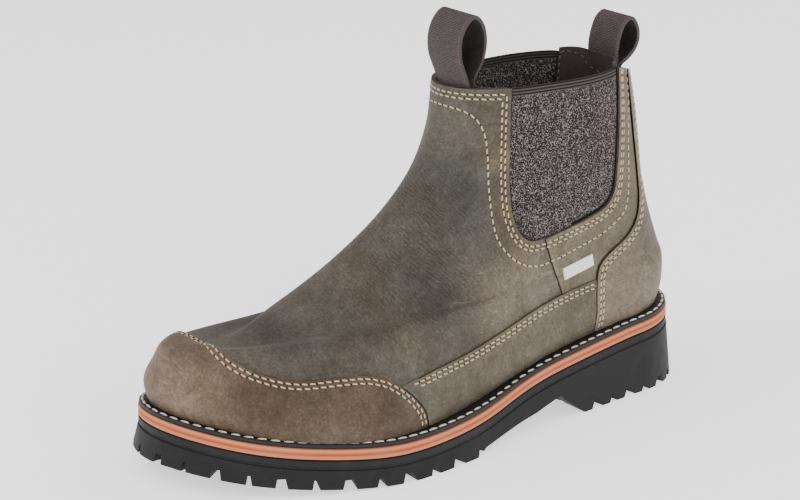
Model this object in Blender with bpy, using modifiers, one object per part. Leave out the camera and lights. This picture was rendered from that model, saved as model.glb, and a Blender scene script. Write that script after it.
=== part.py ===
"""Side gore work boot, left foot, built from one last shape.

Run with: blender --background --python part.py
Units are metres and +Z is up. The toe points to -Y and the outer side to +X.
"""

import math

import bmesh
import bpy
import numpy as np
from mathutils import Vector

# Driving sizes of the sole
SOLE_LENGTH = 0.301
BALL_WIDTH = 0.1130
HEEL_RISE = 0.0200
TOE_RISE = 0.0144
RUBBER_AT_BALL = 0.0130
MIDSOLE_THICKNESS = 0.0055
WELT_THICKNESS = 0.0024
WELT_INSET = 0.0006
WELT_MARGIN = 0.0132
OUTSOLE_FLARE = 0.0030
GROOVE_DEPTH = 0.0010
GROOVE_DROP = 0.0034
GROOVE_HEIGHT = 0.0014
LUG_HEIGHT = 0.0042
LUG_PITCH = 0.0157
HEEL_LUG_PITCH = 0.0121
FIRST_LUG = 0.72
LUG_DEPTH = 0.0150
WIDE_GAP = 0.0080
NARROW_GAP = 0.0054
GAP_TAPER = 0.0042
# The two kinds of gap, in turn along the rim
WIDE = 0
NARROW = 1
CHANNEL_WIDTH = 0.0044
HEEL_BLOCK_LENGTH = 0.0810
ARCH_LENGTH = 0.0600
ARCH_HEIGHT = 0.0125
ARCH_SLOPE = 0.0130
ARCH_CORNER = 0.0030
# Where the arch bends down, where its front slope begins and how far it runs out, as shares
ARCH_MIDDLE = {"along": 0.55, "up": 0.66}
ARCH_FRONT_UP = 0.24
ARCH_RUN_OUT = 0.40
GROUND_LIFT = 0.80
BODY_FLARE = 0.0004
EDGE_ROUNDING = 0.0006

# Driving sizes of the upper
COLLAR_HEIGHT = 0.1690
COLLAR_BACK_DIP = 0.0080
COLLAR_DIP_REACH = 0.22
UPPER_WALL = 0.0024
OVERLAY_THICKNESS = 0.0012
GORE_THICKNESS = 0.0015
GORE_SINK = 0.0006
INSOLE_THICKNESS = 0.0040
INSOLE_CLEARANCE = 0.0008
SIDE_START = 0.0040

# Driving sizes of the webbing and the tag
WEBBING_THICKNESS = 0.0018
FRONT_LOOP_WIDTH = 0.0250
FRONT_LOOP_RISE = 0.0340
BACK_LOOP_WIDTH = 0.0215
BACK_LOOP_RISE = 0.0280
LOOP_TAIL = 0.0180
LOOP_CLEARANCE = 0.0008
TAG_LENGTH = 0.0212
TAG_HEIGHT = 0.0058
TAG_THICKNESS = 0.0008

# The gaps that meeting pieces keep: flat or cut edges, and leather laid on the bent upper
SEAT_GAP = 0.0003
LAID_GAP = 0.0004

# Counts of points
POINTS_AROUND = 48
ROWS_UP = 18
WALL_ROWS = 8
RIM_POINTS = 720
LOOP_POINTS = 22
LOOP_STRIPS = 5
TAIL_POINTS = 3

# How far cutters reach past what they cut
CUT_PAST = 0.0040

# Half widths and centre line of the sole, as shares of its length and of half the ball width
SOLE_OUTLINE = [
    {"along": 0.00, "half": 0.625, "centre": 0.000},
    {"along": 0.12, "half": 0.640, "centre": 0.010},
    {"along": 0.27, "half": 0.660, "centre": 0.080},
    {"along": 0.40, "half": 0.685, "centre": 0.138},
    {"along": 0.55, "half": 0.870, "centre": 0.155},
    {"along": 0.68, "half": 1.000, "centre": 0.092},
    {"along": 0.83, "half": 1.000, "centre": -0.050},
    {"along": 0.93, "half": 1.000, "centre": -0.140},
    {"along": 1.00, "half": 1.000, "centre": -0.190},
]
HEEL_ROUND = 0.12
TOE_ROUND = 0.68
TOE_POWER = 2.30

# Grooves across the tread, as shares of the sole's length, half the ball width and the ball width
TREAD_GROOVES = [
    {"along": 0.10, "centre": 0.01, "length": 0.26, "slant": 0.30},
    {"along": 0.17, "centre": 0.03, "length": 0.28, "slant": -0.30},
    {"along": 0.56, "centre": 0.15, "length": 0.40, "slant": 0.30},
    {"along": 0.63, "centre": 0.12, "length": 0.48, "slant": -0.30},
    {"along": 0.70, "centre": 0.08, "length": 0.52, "slant": 0.30},
    {"along": 0.77, "centre": 0.00, "length": 0.50, "slant": -0.30},
    {"along": 0.84, "centre": -0.06, "length": 0.44, "slant": 0.30},
]

# Height of the midsole's top above its height at the ball, as shares of the two rises
SOLE_LINE = [
    {"along": 0.000, "heel": 1.000, "toe": 0.00},
    {"along": 0.167, "heel": 0.835, "toe": 0.00},
    {"along": 0.333, "heel": 0.575, "toe": 0.00},
    {"along": 0.500, "heel": 0.120, "toe": 0.00},
    {"along": 0.667, "heel": 0.000, "toe": 0.00},
    {"along": 0.800, "heel": 0.000, "toe": 0.19},
    {"along": 0.900, "heel": 0.000, "toe": 0.50},
    {"along": 1.000, "heel": 0.000, "toe": 1.00},
]

# Rings of the last from the welt to the collar. Places along are shares of the sole's length,
# heights are shares of the collar's, half widths and centres are shares of half the ball width.
# Ring heights of the first three rows are measured above the welt. At the vamp a ring sags on its
# inner side and swells on its outer side, by a share**3 * (1 - share) whose peak is SAG_PEAK.
RINGS = [
    {"back": 0.024, "back_up": 0.000, "front": 0.977, "front_up": 0.000,
     "heel": 0.530, "waist": 0.585, "ball": 0.915, "mid": 0.130, "fore": 0.085, "tip": -0.200,
     "round": 0.67, "power": 2.40, "heel_round": 0.12, "on_welt": 1, "sag": 0.000, "swell": 0.000},
    {"back": 0.016, "back_up": 0.055, "front": 0.984, "front_up": 0.055,
     "heel": 0.560, "waist": 0.625, "ball": 0.930, "mid": 0.125, "fore": 0.085, "tip": -0.200,
     "round": 0.67, "power": 2.40, "heel_round": 0.12, "on_welt": 1, "sag": 0.000, "swell": 0.000},
    {"back": 0.016, "back_up": 0.130, "front": 0.974, "front_up": 0.115,
     "heel": 0.570, "waist": 0.640, "ball": 0.875, "mid": 0.100, "fore": 0.080, "tip": -0.190,
     "round": 0.66, "power": 2.20, "heel_round": 0.12, "on_welt": 1, "sag": 0.000, "swell": 0.000},
    {"back": 0.025, "back_up": 0.420, "front": 0.950, "front_up": 0.381,
     "heel": 0.560, "waist": 0.640, "ball": 0.710, "mid": 0.075, "fore": 0.060, "tip": -0.160,
     "round": 0.58, "power": 2.10, "heel_round": 0.13, "on_welt": 0, "sag": 0.036, "swell": 0.000},
    {"back": 0.035, "back_up": 0.475, "front": 0.880, "front_up": 0.361,
     "heel": 0.550, "waist": 0.630, "ball": 0.625, "mid": 0.050, "fore": 0.055, "tip": -0.070,
     "round": 0.51, "power": 1.45, "heel_round": 0.15, "on_welt": 0, "sag": 0.020, "swell": 0.014},
    {"back": 0.046, "back_up": 0.535, "front": 0.790, "front_up": 0.418,
     "heel": 0.535, "waist": 0.625, "ball": 0.620, "mid": 0.030, "fore": 0.045, "tip": -0.060,
     "round": 0.48, "power": 1.28, "heel_round": 0.17, "on_welt": 0, "sag": 0.000, "swell": 0.012},
    {"back": 0.056, "back_up": 0.595, "front": 0.685, "front_up": 0.503,
     "heel": 0.520, "waist": 0.615, "ball": 0.610, "mid": 0.015, "fore": 0.030, "tip": -0.040,
     "round": 0.52, "power": 1.38, "heel_round": 0.19, "on_welt": 0, "sag": 0.000, "swell": 0.004},
    {"back": 0.065, "back_up": 0.665, "front": 0.585, "front_up": 0.613,
     "heel": 0.500, "waist": 0.600, "ball": 0.585, "mid": 0.010, "fore": 0.015, "tip": -0.020,
     "round": 0.55, "power": 1.60, "heel_round": 0.22, "on_welt": 0, "sag": 0.000, "swell": 0.000},
    {"back": 0.070, "back_up": 0.735, "front": 0.515, "front_up": 0.728,
     "heel": 0.485, "waist": 0.585, "ball": 0.555, "mid": 0.000, "fore": 0.000, "tip": -0.010,
     "round": 0.60, "power": 1.85, "heel_round": 0.25, "on_welt": 0, "sag": 0.000, "swell": 0.000},
    {"back": 0.078, "back_up": 0.850, "front": 0.477, "front_up": 0.860,
     "heel": 0.470, "waist": 0.565, "ball": 0.525, "mid": 0.000, "fore": 0.000, "tip": 0.000,
     "round": 0.64, "power": 2.00, "heel_round": 0.29, "on_welt": 0, "sag": 0.000, "swell": 0.000},
    {"back": 0.092, "back_up": 1.000, "front": 0.464, "front_up": 1.000,
     "heel": 0.455, "waist": 0.545, "ball": 0.510, "mid": 0.000, "fore": 0.000, "tip": 0.000,
     "round": 0.66, "power": 2.00, "heel_round": 0.32, "on_welt": 0, "sag": 0.000, "swell": 0.000},
]

SAG_PEAK = 27 / 256


# Shape functions


def column(table, name):
    return np.array([row[name] for row in table], float)


def smooth(xs, ys, x):
    """A smooth curve through the points. Each entry of ys may be a number or an array."""
    xs = np.asarray(xs, float)
    ys = np.asarray(ys, float)
    x = np.clip(np.asarray(x, float), xs[0], xs[-1])
    shape = (-1,) + (1,) * (ys.ndim - 1)
    slopes = np.diff(ys, axis=0) / np.diff(xs).reshape(shape)
    ends = np.concatenate([slopes[:1], (slopes[:-1] + slopes[1:]) / 2, slopes[-1:]])
    i = np.clip(np.searchsorted(xs, x, side="right") - 1, 0, len(xs) - 2)
    step = (xs[i + 1] - xs[i]).reshape(shape)
    t = (x - xs[i]).reshape(shape) / step
    first = (1 + 2 * t) * (1 - t) ** 2 * ys[i] + t * (1 - t) ** 2 * step * ends[i]
    second = t * t * (3 - 2 * t) * ys[i + 1] - t * t * (1 - t) * step * ends[i + 1]
    return first + second


def midsole_top(along):
    """Height of the midsole's top at a share of the sole's length."""
    places = column(SOLE_LINE, "along")
    heel = smooth(places, column(SOLE_LINE, "heel"), along)
    toe = smooth(places, column(SOLE_LINE, "toe"), along)
    return RUBBER_AT_BALL + MIDSOLE_THICKNESS + HEEL_RISE * heel + TOE_RISE * toe


def end_rounding(share, start, end, power):
    """Falls from 1 at start to 0 at end, as the end of an ellipse does."""
    reach = np.clip((share - start) / (end - start), 0, 1)
    return np.sqrt(np.clip(1 - reach**power, 0, 1))


def shares_around(count):
    """Shares from back to front and back again, with the side they lie on, close at both ends."""
    angle = 2 * math.pi * np.arange(count) / count
    return (1 - np.cos(angle)) / 2, np.where(np.sin(angle) >= 0, 1.0, -1.0)


def sole_ring(inset, count=POINTS_AROUND):
    """Points across and along of the sole's outline, moved in by the inset."""
    along, side = shares_around(count)
    places = column(SOLE_OUTLINE, "along")
    half = smooth(places, column(SOLE_OUTLINE, "half"), along)
    half = half * end_rounding(along, TOE_ROUND, 1, TOE_POWER)
    half = half * end_rounding(-along, -HEEL_ROUND, 0, 2)
    centre = smooth(places, column(SOLE_OUTLINE, "centre"), along)
    across = (centre + side * half) * BALL_WIDTH / 2
    points = np.stack([across, along * SOLE_LENGTH], 1)
    return points - inset * outward(points)


def outward(points):
    """Unit vectors that point out of a closed plan outline."""
    chord = np.roll(points, -1, 0) - np.roll(points, 1, 0)
    normal = np.stack([-chord[:, 1], chord[:, 0]], 1)
    normal /= np.linalg.norm(normal, axis=1)[:, None]
    middle = points.mean(0)
    if ((points - middle) * normal).sum() < 0:
        normal = -normal
    return normal


def ring_points(row, count=POINTS_AROUND):
    """One ring of the last: across, along and up for each point around."""
    share, side = shares_around(count)
    back = row["back"] * SOLE_LENGTH
    front = row["front"] * SOLE_LENGTH
    along = back + share * (front - back)
    stations = [0.0, 0.13, 0.42, 0.72, 1.0]
    widths = [row["heel"], row["heel"], row["waist"], row["ball"], row["ball"]]
    half = smooth(stations, widths, share)
    half = half * end_rounding(share, row["round"], 1, row["power"])
    half = half * end_rounding(-share, -row["heel_round"], 0, 2)
    centre = smooth(stations, [0.0, 0.0, row["mid"], row["fore"], row["tip"]], share)
    across = (centre + side * half) * BALL_WIDTH / 2
    up = row["back_up"] + share * (row["front_up"] - row["back_up"])
    lift = np.where(side > 0, row["swell"], -row["sag"])
    up = (up + lift * share**3 * (1 - share) / SAG_PEAK) * COLLAR_HEIGHT
    up = up + row["on_welt"] * (midsole_top(along / SOLE_LENGTH) + WELT_THICKNESS + SEAT_GAP)
    return np.stack([across, along, up], 1)


def last_surface(offset):
    """Rows of points of the last from the welt to the collar, moved out along its normals."""
    rings = np.stack([ring_points(row) for row in RINGS])
    collar = rings[-1]
    share = (collar[:, 1] - collar[:, 1].min()) / np.ptp(collar[:, 1])
    collar[:, 2] -= COLLAR_BACK_DIP * np.clip(1 - share / COLLAR_DIP_REACH, 0, 1) ** 2
    steps = np.linalg.norm(np.diff(rings, axis=0), axis=2).mean(1)
    walked = np.concatenate([[0], np.cumsum(steps)])
    rows = smooth(walked, rings, np.linspace(0, walked[-1], ROWS_UP))
    up = np.gradient(rows, axis=0)
    around = np.roll(rows, -1, 1) - np.roll(rows, 1, 1)
    normal = np.cross(around, up)
    normal /= np.linalg.norm(normal, axis=2)[:, :, None]
    middle = rows.mean((0, 1))
    if ((rows - middle) * normal).sum() < 0:
        normal = -normal
    # The end rows move level, as far as takes them to the moved surface
    for end in (0, -1):
        normal[end, :, 2] = 0
        normal[end] /= (normal[end] ** 2).sum(1)[:, None]
    rows = rows + offset * normal
    rows[0, :, 2] = midsole_top(rows[0, :, 1] / SOLE_LENGTH) + WELT_THICKNESS + SEAT_GAP
    return rows


# Edges of the laid-on pieces in side view, as shares of the sole's length and the collar's height
TOE_CAP_EDGE = [
    {"along": 0.618, "up": -0.050},
    {"along": 0.620, "up": 0.100},
    {"along": 0.630, "up": 0.170},
    {"along": 0.648, "up": 0.217},
    {"along": 0.668, "up": 0.254},
    {"along": 0.692, "up": 0.285},
    {"along": 0.725, "up": 0.305},
    {"along": 0.775, "up": 0.310},
    {"along": 0.830, "up": 0.310},
    {"along": 0.872, "up": 0.330},
    {"along": 0.902, "up": 0.362},
    {"along": 0.915, "up": 0.400},
    {"along": 0.916, "up": 0.700},
]
SIDE_PANEL_EDGE = [
    {"along": 0.700, "up": 0.247},
    {"along": 0.656, "up": 0.263},
    {"along": 0.597, "up": 0.277},
    {"along": 0.518, "up": 0.292},
    {"along": 0.443, "up": 0.318},
    {"along": 0.354, "up": 0.358},
    {"along": 0.264, "up": 0.380},
    {"along": 0.180, "up": 0.388},
]
COUNTER_EDGE = [
    {"along": 0.221, "up": -0.050},
    {"along": 0.220, "up": 0.270},
    {"along": 0.222, "up": 0.378},
    {"along": 0.215, "up": 0.422},
    {"along": 0.190, "up": 0.453},
    {"along": 0.150, "up": 0.487},
    {"along": 0.118, "up": 0.530},
    {"along": 0.104, "up": 0.580},
    {"along": 0.101, "up": 0.660},
    {"along": 0.109, "up": 0.761},
    {"along": 0.115, "up": 0.858},
    {"along": 0.120, "up": 1.100},
]
GORE_EDGE = [
    {"along": 0.386, "up": 1.100},
    {"along": 0.388, "up": 0.966},
    {"along": 0.391, "up": 0.846},
    {"along": 0.397, "up": 0.701},
    {"along": 0.398, "up": 0.640},
    {"along": 0.391, "up": 0.590},
    {"along": 0.375, "up": 0.559},
    {"along": 0.355, "up": 0.551},
    {"along": 0.291, "up": 0.564},
    {"along": 0.236, "up": 0.579},
    {"along": 0.196, "up": 0.598},
    {"along": 0.176, "up": 0.634},
    {"along": 0.168, "up": 0.705},
    {"along": 0.161, "up": 0.828},
    {"along": 0.155, "up": 0.960},
    {"along": 0.152, "up": 1.100},
]
TAG_PLACE = {"along": 0.266, "up": 0.440, "tilt": 0.138}

# Corners past the leather that close the outlines of the laid-on pieces, as the same shares
TOE_CAP_CLOSE = [{"along": 1.10, "up": 0.70}, {"along": 1.10, "up": -0.05}]
SIDE_PANEL_CLOSE = [{"along": 0.18, "up": -0.05}, {"along": 0.70, "up": -0.05}]
COUNTER_CLOSE = [{"along": -0.10, "up": 1.10}, {"along": -0.10, "up": -0.05}]

# The loops from the leg at the wall, over the top, to the free leg, as shares of the loop's rise
FRONT_LOOP_PATH = [
    {"out": 0.00, "up": 0.00},
    {"out": 0.03, "up": 0.16},
    {"out": 0.08, "up": 0.42},
    {"out": 0.04, "up": 0.72},
    {"out": -0.08, "up": 0.92},
    {"out": -0.22, "up": 1.00},
    {"out": -0.34, "up": 0.90},
    {"out": -0.40, "up": 0.66},
    {"out": -0.32, "up": 0.36},
    {"out": -0.14, "up": 0.12},
    {"out": -0.09, "up": 0.00},
]
BACK_LOOP_PATH = [
    {"out": 0.00, "up": 0.00},
    {"out": -0.03, "up": 0.15},
    {"out": 0.16, "up": 0.30},
    {"out": 0.27, "up": 0.42},
    {"out": 0.33, "up": 0.60},
    {"out": 0.28, "up": 0.84},
    {"out": 0.14, "up": 1.00},
    {"out": -0.02, "up": 0.92},
    {"out": -0.12, "up": 0.72},
    {"out": -0.16, "up": 0.46},
    {"out": -0.12, "up": 0.16},
    {"out": -0.10, "up": 0.00},
]

# The outsole's widest ring centres the boot on its origin
WIDEST = sole_ring(-OUTSOLE_FLARE)
MID_ACROSS = (WIDEST[:, 0].max() + WIDEST[:, 0].min()) / 2
MID_ALONG = (WIDEST[:, 1].max() + WIDEST[:, 1].min()) / 2


def world(points):
    """Turns across, along and up into X, Y and Z."""
    points = np.asarray(points, float)
    return np.stack(
        [points[..., 0] - MID_ACROSS, MID_ALONG - points[..., 1], points[..., 2]], -1
    )


def edge_path(table, steps=3):
    """Points along and up of a smooth edge through the rows of a table, in metres."""
    rows = np.stack([column(table, "along") * SOLE_LENGTH, column(table, "up") * COLLAR_HEIGHT], 1)
    walked = np.concatenate([[0], np.cumsum(np.linalg.norm(np.diff(rows, axis=0), axis=1))])
    places = np.concatenate(
        [np.linspace(a, b, steps, endpoint=False) for a, b in zip(walked, walked[1:])] + [walked[-1:]]
    )
    return smooth(walked, rows, places)


def moved_edge(path, distance):
    """The edge moved to its left by the distance."""
    chord = np.gradient(path, axis=0)
    chord /= np.linalg.norm(chord, axis=1)[:, None]
    return path + distance * np.stack([-chord[:, 1], chord[:, 0]], 1)


# Blender helpers


def clear_scene():
    for obj in list(bpy.data.objects):
        bpy.data.objects.remove(obj, do_unlink=True)


def new_collection(name):
    made = bpy.data.collections.new(name)
    bpy.context.scene.collection.children.link(made)
    return made


def material(name, colour, roughness, metallic=0.0):
    made = bpy.data.materials.new(name)
    made.use_nodes = True
    shader = made.node_tree.nodes["Principled BSDF"]
    shader.inputs["Base Color"].default_value = (*colour, 1)
    shader.inputs["Roughness"].default_value = roughness
    shader.inputs["Metallic"].default_value = metallic
    made.diffuse_color = (*colour, 1)
    return made


def new_object(name, points, faces, finish, collection, smooth_angle=40):
    """A mesh object whose faces point out."""
    mesh = bpy.data.meshes.new(name)
    mesh.from_pydata([tuple(p) for p in points], [], [tuple(f) for f in faces])
    work = bmesh.new()
    work.from_mesh(mesh)
    bmesh.ops.recalc_face_normals(work, faces=work.faces)
    middle = sum((v.co for v in work.verts), Vector()) / len(work.verts)
    facing = sum((f.calc_center_median() - middle).dot(f.normal) * f.calc_area() for f in work.faces)
    if facing < 0:
        bmesh.ops.reverse_faces(work, faces=work.faces)
    work.to_mesh(mesh)
    work.free()
    mesh.materials.append(finish)
    mesh.shade_smooth()
    mesh.set_sharp_from_angle(angle=math.radians(smooth_angle))
    made = bpy.data.objects.new(name, mesh)
    collection.objects.link(made)
    return made


def quads_between(rows, count, closed_around=True, closed_up=False):
    """Faces between rows of points."""
    faces = []
    steps = count if closed_around else count - 1
    for r in range(rows if closed_up else rows - 1):
        low = r * count
        high = ((r + 1) % rows) * count
        for k in range(steps):
            after = (k + 1) % count
            faces.append((low + k, low + after, high + after, high + k))
    return faces


def ladder(start, count):
    """Faces that fill a ring by joining its points of the same share across it."""
    faces = [(start, start + 1, start + count - 1)]
    for k in range(1, count // 2 - 1):
        faces.append((start + k, start + k + 1, start + count - k - 1, start + count - k))
    half = start + count // 2
    faces.append((half - 1, half, half + 1))
    return faces


def lofted(name, rings, finish, collection, closed_up=False):
    """A closed solid through rings of points, low to high, filled at both ends."""
    count = len(rings[0])
    faces = quads_between(len(rings), count, closed_up=closed_up)
    if not closed_up:
        faces += ladder(0, count) + ladder((len(rings) - 1) * count, count)
    return new_object(name, world(np.concatenate(rings)), faces, finish, collection)


def skin(name, offset, thickness, finish, collection):
    """A wall on the last: its outer face at the offset, its thickness going inwards."""
    rows = last_surface(offset)
    quads = quads_between(rows.shape[0], rows.shape[1])
    # Every skin splits its bent quads the same way, so that their faces run parallel
    faces = [part for a, b, c, d in quads for part in ((a, b, c), (a, c, d))]
    made = new_object(name, world(rows.reshape(-1, 3)), faces, finish, collection)
    wall = made.modifiers.new("wall", "SOLIDIFY")
    wall.thickness = thickness
    wall.offset = -1
    return made


def as_cutter(made):
    made.hide_render = True
    made.display_type = "WIRE"
    return made


def side_prism(name, outline, low, high, collection):
    """A cutter with a side-view outline, from low to high across."""
    work = bmesh.new()
    corners = [(low, along, up) for along, up in outline]
    face = work.faces.new([work.verts.new(p) for p in world(corners)])
    grown = bmesh.ops.extrude_face_region(work, geom=[face])
    moved = [v for v in grown["geom"] if isinstance(v, bmesh.types.BMVert)]
    bmesh.ops.translate(work, verts=moved, vec=(high - low, 0, 0))
    bmesh.ops.recalc_face_normals(work, faces=work.faces)
    mesh = bpy.data.meshes.new(name)
    work.to_mesh(mesh)
    work.free()
    made = bpy.data.objects.new(name, mesh)
    collection.objects.link(made)
    return as_cutter(made)


def cut(made, cutter, operation="DIFFERENCE"):
    step = made.modifiers.new(cutter.name, "BOOLEAN")
    step.operation = operation
    step.solver = "EXACT"
    step.object = cutter
    return made


# Sole pieces


def at_height(ring, height):
    """Adds to a plan ring the midsole's top moved by the height."""
    return np.column_stack([ring, midsole_top(ring[:, 1] / SOLE_LENGTH) + height])


def ground_line(along):
    """Height of the outsole's underside at a share of the sole's length."""
    toe = smooth(column(SOLE_LINE, "along"), column(SOLE_LINE, "toe"), along)
    return GROUND_LIFT * TOE_RISE * np.maximum(toe, 0)


def on_ground(ring, height):
    return np.column_stack([ring, ground_line(ring[:, 1] / SOLE_LENGTH) + height])


def make_midsole(finish, parts):
    rounding = EDGE_ROUNDING
    rings = [
        at_height(sole_ring(rounding), -MIDSOLE_THICKNESS),
        at_height(sole_ring(0), rounding - MIDSOLE_THICKNESS),
        at_height(sole_ring(0), -rounding),
        at_height(sole_ring(rounding), 0),
    ]
    return lofted("midsole", rings, finish, parts)


def make_welt(finish, parts):
    outer = sole_ring(WELT_INSET)
    inner = sole_ring(WELT_MARGIN)
    rings = [
        at_height(outer, SEAT_GAP),
        at_height(outer, WELT_THICKNESS),
        at_height(inner, WELT_THICKNESS),
        at_height(inner, SEAT_GAP),
    ]
    return lofted("welt", rings, finish, parts, closed_up=True)


def make_insole(finish, parts):
    plug = sole_ring(WELT_MARGIN + SEAT_GAP)
    first = ring_points(RINGS[0])
    plan = first[:, :2]
    board = plan - (UPPER_WALL + INSOLE_CLEARANCE) * outward(plan)
    seat = WELT_THICKNESS + SEAT_GAP
    rings = [
        at_height(plug, SEAT_GAP),
        at_height(plug, seat),
        at_height(board, seat),
        at_height(board, seat + INSOLE_THICKNESS),
    ]
    return lofted("insole", rings, finish, parts)


def make_outsole(finish, parts, cutters):
    top = -MIDSOLE_THICKNESS - SEAT_GAP
    body = sole_ring(-BODY_FLARE)
    rings = [
        on_ground(sole_ring(-OUTSOLE_FLARE), 0),
        at_height(body, top - GROOVE_DROP - GROOVE_HEIGHT),
        at_height(sole_ring(GROOVE_DEPTH), top - GROOVE_DROP - GROOVE_HEIGHT / 2),
        at_height(sole_ring(0), top - GROOVE_DROP),
        at_height(sole_ring(0), top),
    ]
    made = lofted("outsole", rings, finish, parts)
    cut(made, arch_cutter(cutters))
    cut(made, channel_cutter(cutters))
    for gap_kind in (WIDE, NARROW):
        cut(made, notch_cutter(gap_kind, cutters))
    cut(made, cross_cutter(cutters))
    return made


def arch_cutter(cutters):
    """Cuts the arch away between the heel's breast and the forefoot."""
    breast = HEEL_BLOCK_LENGTH
    front = HEEL_BLOCK_LENGTH + ARCH_LENGTH + ARCH_SLOPE
    below = -CUT_PAST
    outline = [
        (breast, below),
        (breast, 0),
        (breast + ARCH_SLOPE, ARCH_HEIGHT - ARCH_CORNER),
        (breast + ARCH_SLOPE + ARCH_CORNER, ARCH_HEIGHT),
        (breast + ARCH_LENGTH * ARCH_MIDDLE["along"], ARCH_HEIGHT * ARCH_MIDDLE["up"]),
        (front, ARCH_HEIGHT * ARCH_FRONT_UP),
        (front + ARCH_SLOPE * ARCH_RUN_OUT, 0),
        (front + ARCH_SLOPE * ARCH_RUN_OUT, below),
    ]
    return side_prism("arch_cutter", outline, -BALL_WIDTH, BALL_WIDTH, cutters)


def channel_cutter(cutters):
    """The channel between the rim lugs and the middle of the tread."""
    outer = sole_ring(LUG_DEPTH - OUTSOLE_FLARE)
    inner = sole_ring(LUG_DEPTH - OUTSOLE_FLARE + CHANNEL_WIDTH)
    rings = [
        on_ground(outer, -CUT_PAST),
        on_ground(outer, LUG_HEIGHT),
        on_ground(inner, LUG_HEIGHT),
        on_ground(inner, -CUT_PAST),
    ]
    return as_cutter(lofted("channel_cutter", rings, cutters_finish(), cutters, closed_up=True))


def cutters_finish():
    return bpy.data.materials.get("cutter") or material("cutter", (0.5, 0.5, 0.5), 0.5)


def box(middle, direction, length, low_width, high_width, low, high):
    """Corners and faces of an upright box whose length lies along a direction in plan."""
    side = np.array([-direction[1], direction[0]])
    corners = []
    for up, width in ((low, low_width), (high, high_width)):
        for a, b in ((-1, -1), (1, -1), (1, 1), (-1, 1)):
            point = middle + direction * a * length / 2 + side * b * width / 2
            corners.append((point[0], point[1], up))
    faces = [(0, 1, 2, 3), (4, 5, 6, 7), (0, 1, 5, 4), (1, 2, 6, 5), (2, 3, 7, 6), (3, 0, 4, 7)]
    return corners, faces


def boxes_object(name, boxes, cutters):
    points = []
    faces = []
    for corners, sides in boxes:
        faces += [tuple(len(points) + i for i in side) for side in sides]
        points += corners
    return as_cutter(new_object(name, world(points), faces, cutters_finish(), cutters))


def notch_cutter(gap_kind, cutters):
    """The wide or the narrow gaps between the rim lugs, in turn, closer together at the heel."""
    rim = sole_ring(-OUTSOLE_FLARE, RIM_POINTS)
    facing = outward(rim)
    heights = ground_line(rim[:, 1] / SOLE_LENGTH) + LUG_HEIGHT
    steps = np.linalg.norm(np.roll(rim, -1, 0) - rim, axis=1)
    walked = np.concatenate([[0], np.cumsum(steps)])
    around = walked[-1]
    count = round(around / LUG_PITCH)
    places = [((n + FIRST_LUG) * around / count, n) for n in range(count)]
    heel_count = math.floor(2 * HEEL_BLOCK_LENGTH / HEEL_LUG_PITCH)
    heel_places = [(n * HEEL_LUG_PITCH % around, n) for n in range(-heel_count, heel_count + 1)]
    reach = LUG_DEPTH + CHANNEL_WIDTH / 2
    made = []
    for at_heel, group in ((False, places), (True, heel_places)):
        for distance, n in group:
            place = min(np.searchsorted(walked, distance), RIM_POINTS - 1)
            if n % 2 != gap_kind or at_heel != (rim[place, 1] < HEEL_BLOCK_LENGTH):
                continue
            gap = NARROW_GAP if gap_kind == NARROW else WIDE_GAP
            grows = 1 + CUT_PAST / (heights[place])
            low_width = gap - GAP_TAPER + GAP_TAPER * grows
            middle = rim[place] + facing[place] * (CUT_PAST - reach) / 2
            length = reach + CUT_PAST
            wedge = box(
                middle, facing[place], length, low_width, gap - GAP_TAPER, -CUT_PAST, heights[place]
            )
            made.append(wedge)
    return boxes_object("notch_cutter_%d" % gap_kind, made, cutters)


def cross_cutter(cutters):
    """Slanted grooves across the middle of the tread, at the forefoot and the heel."""
    made = []
    heights = ground_line(column(TREAD_GROOVES, "along")) + LUG_HEIGHT
    for row, high in zip(TREAD_GROOVES, heights):
        middle = np.array([row["centre"] * BALL_WIDTH / 2, row["along"] * SOLE_LENGTH])
        direction = np.array([math.cos(row["slant"]), math.sin(row["slant"])])
        length = row["length"] * BALL_WIDTH
        made.append(box(middle, direction, length, CHANNEL_WIDTH, CHANNEL_WIDTH, -CUT_PAST, high))
    return boxes_object("cross_cutter", made, cutters)


# Upper pieces


def closing(path, corners):
    """A side-view outline of the path and of corners past the leather that close it."""
    return [tuple(p) for p in path] + [
        (corner["along"] * SOLE_LENGTH, corner["up"] * COLLAR_HEIGHT) for corner in corners
    ]


def toe_outline(distance):
    path = moved_edge(edge_path(TOE_CAP_EDGE), distance)
    return closing(path, TOE_CAP_CLOSE)


def counter_outline(distance):
    path = moved_edge(edge_path(COUNTER_EDGE), -distance)
    return closing(path, COUNTER_CLOSE)


def side_panel_outline():
    path = edge_path(SIDE_PANEL_EDGE)
    return closing(path, SIDE_PANEL_CLOSE)


def gore_outline(inset):
    return [tuple(p) for p in moved_edge(edge_path(GORE_EDGE), -inset)]


def side_reach(side):
    """How far a one-sided cutter reaches across, on the outer or the inner side."""
    return (SIDE_START, BALL_WIDTH) if side == "lateral" else (-BALL_WIDTH, -SIDE_START)


def make_upper(finish, parts, cutters):
    made = skin("upper", 0, UPPER_WALL, finish, parts)
    for side in ("lateral", "medial"):
        low, high = side_reach(side)
        cut(made, side_prism(side + "_gore_cutter", gore_outline(0), low, high, cutters))
    return made


def laid_on(name, outline, low, high, finish, parts, cutters):
    """A piece of leather laid on the upper inside a side-view outline."""
    offset = LAID_GAP + OVERLAY_THICKNESS
    made = skin(name, offset, OVERLAY_THICKNESS, finish, parts)
    return cut(made, side_prism(name + "_cutter", outline, low, high, cutters), "INTERSECT")


def make_side_panel(side, finish, parts, cutters):
    low, high = side_reach(side)
    made = laid_on(side + "_side_panel", side_panel_outline(), low, high, finish, parts, cutters)
    clear_toe = side_prism(side + "_toe_clear", toe_outline(SEAT_GAP), low, high, cutters)
    clear_heel = side_prism(side + "_heel_clear", counter_outline(SEAT_GAP), low, high, cutters)
    cut(made, clear_toe)
    return cut(made, clear_heel)


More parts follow.
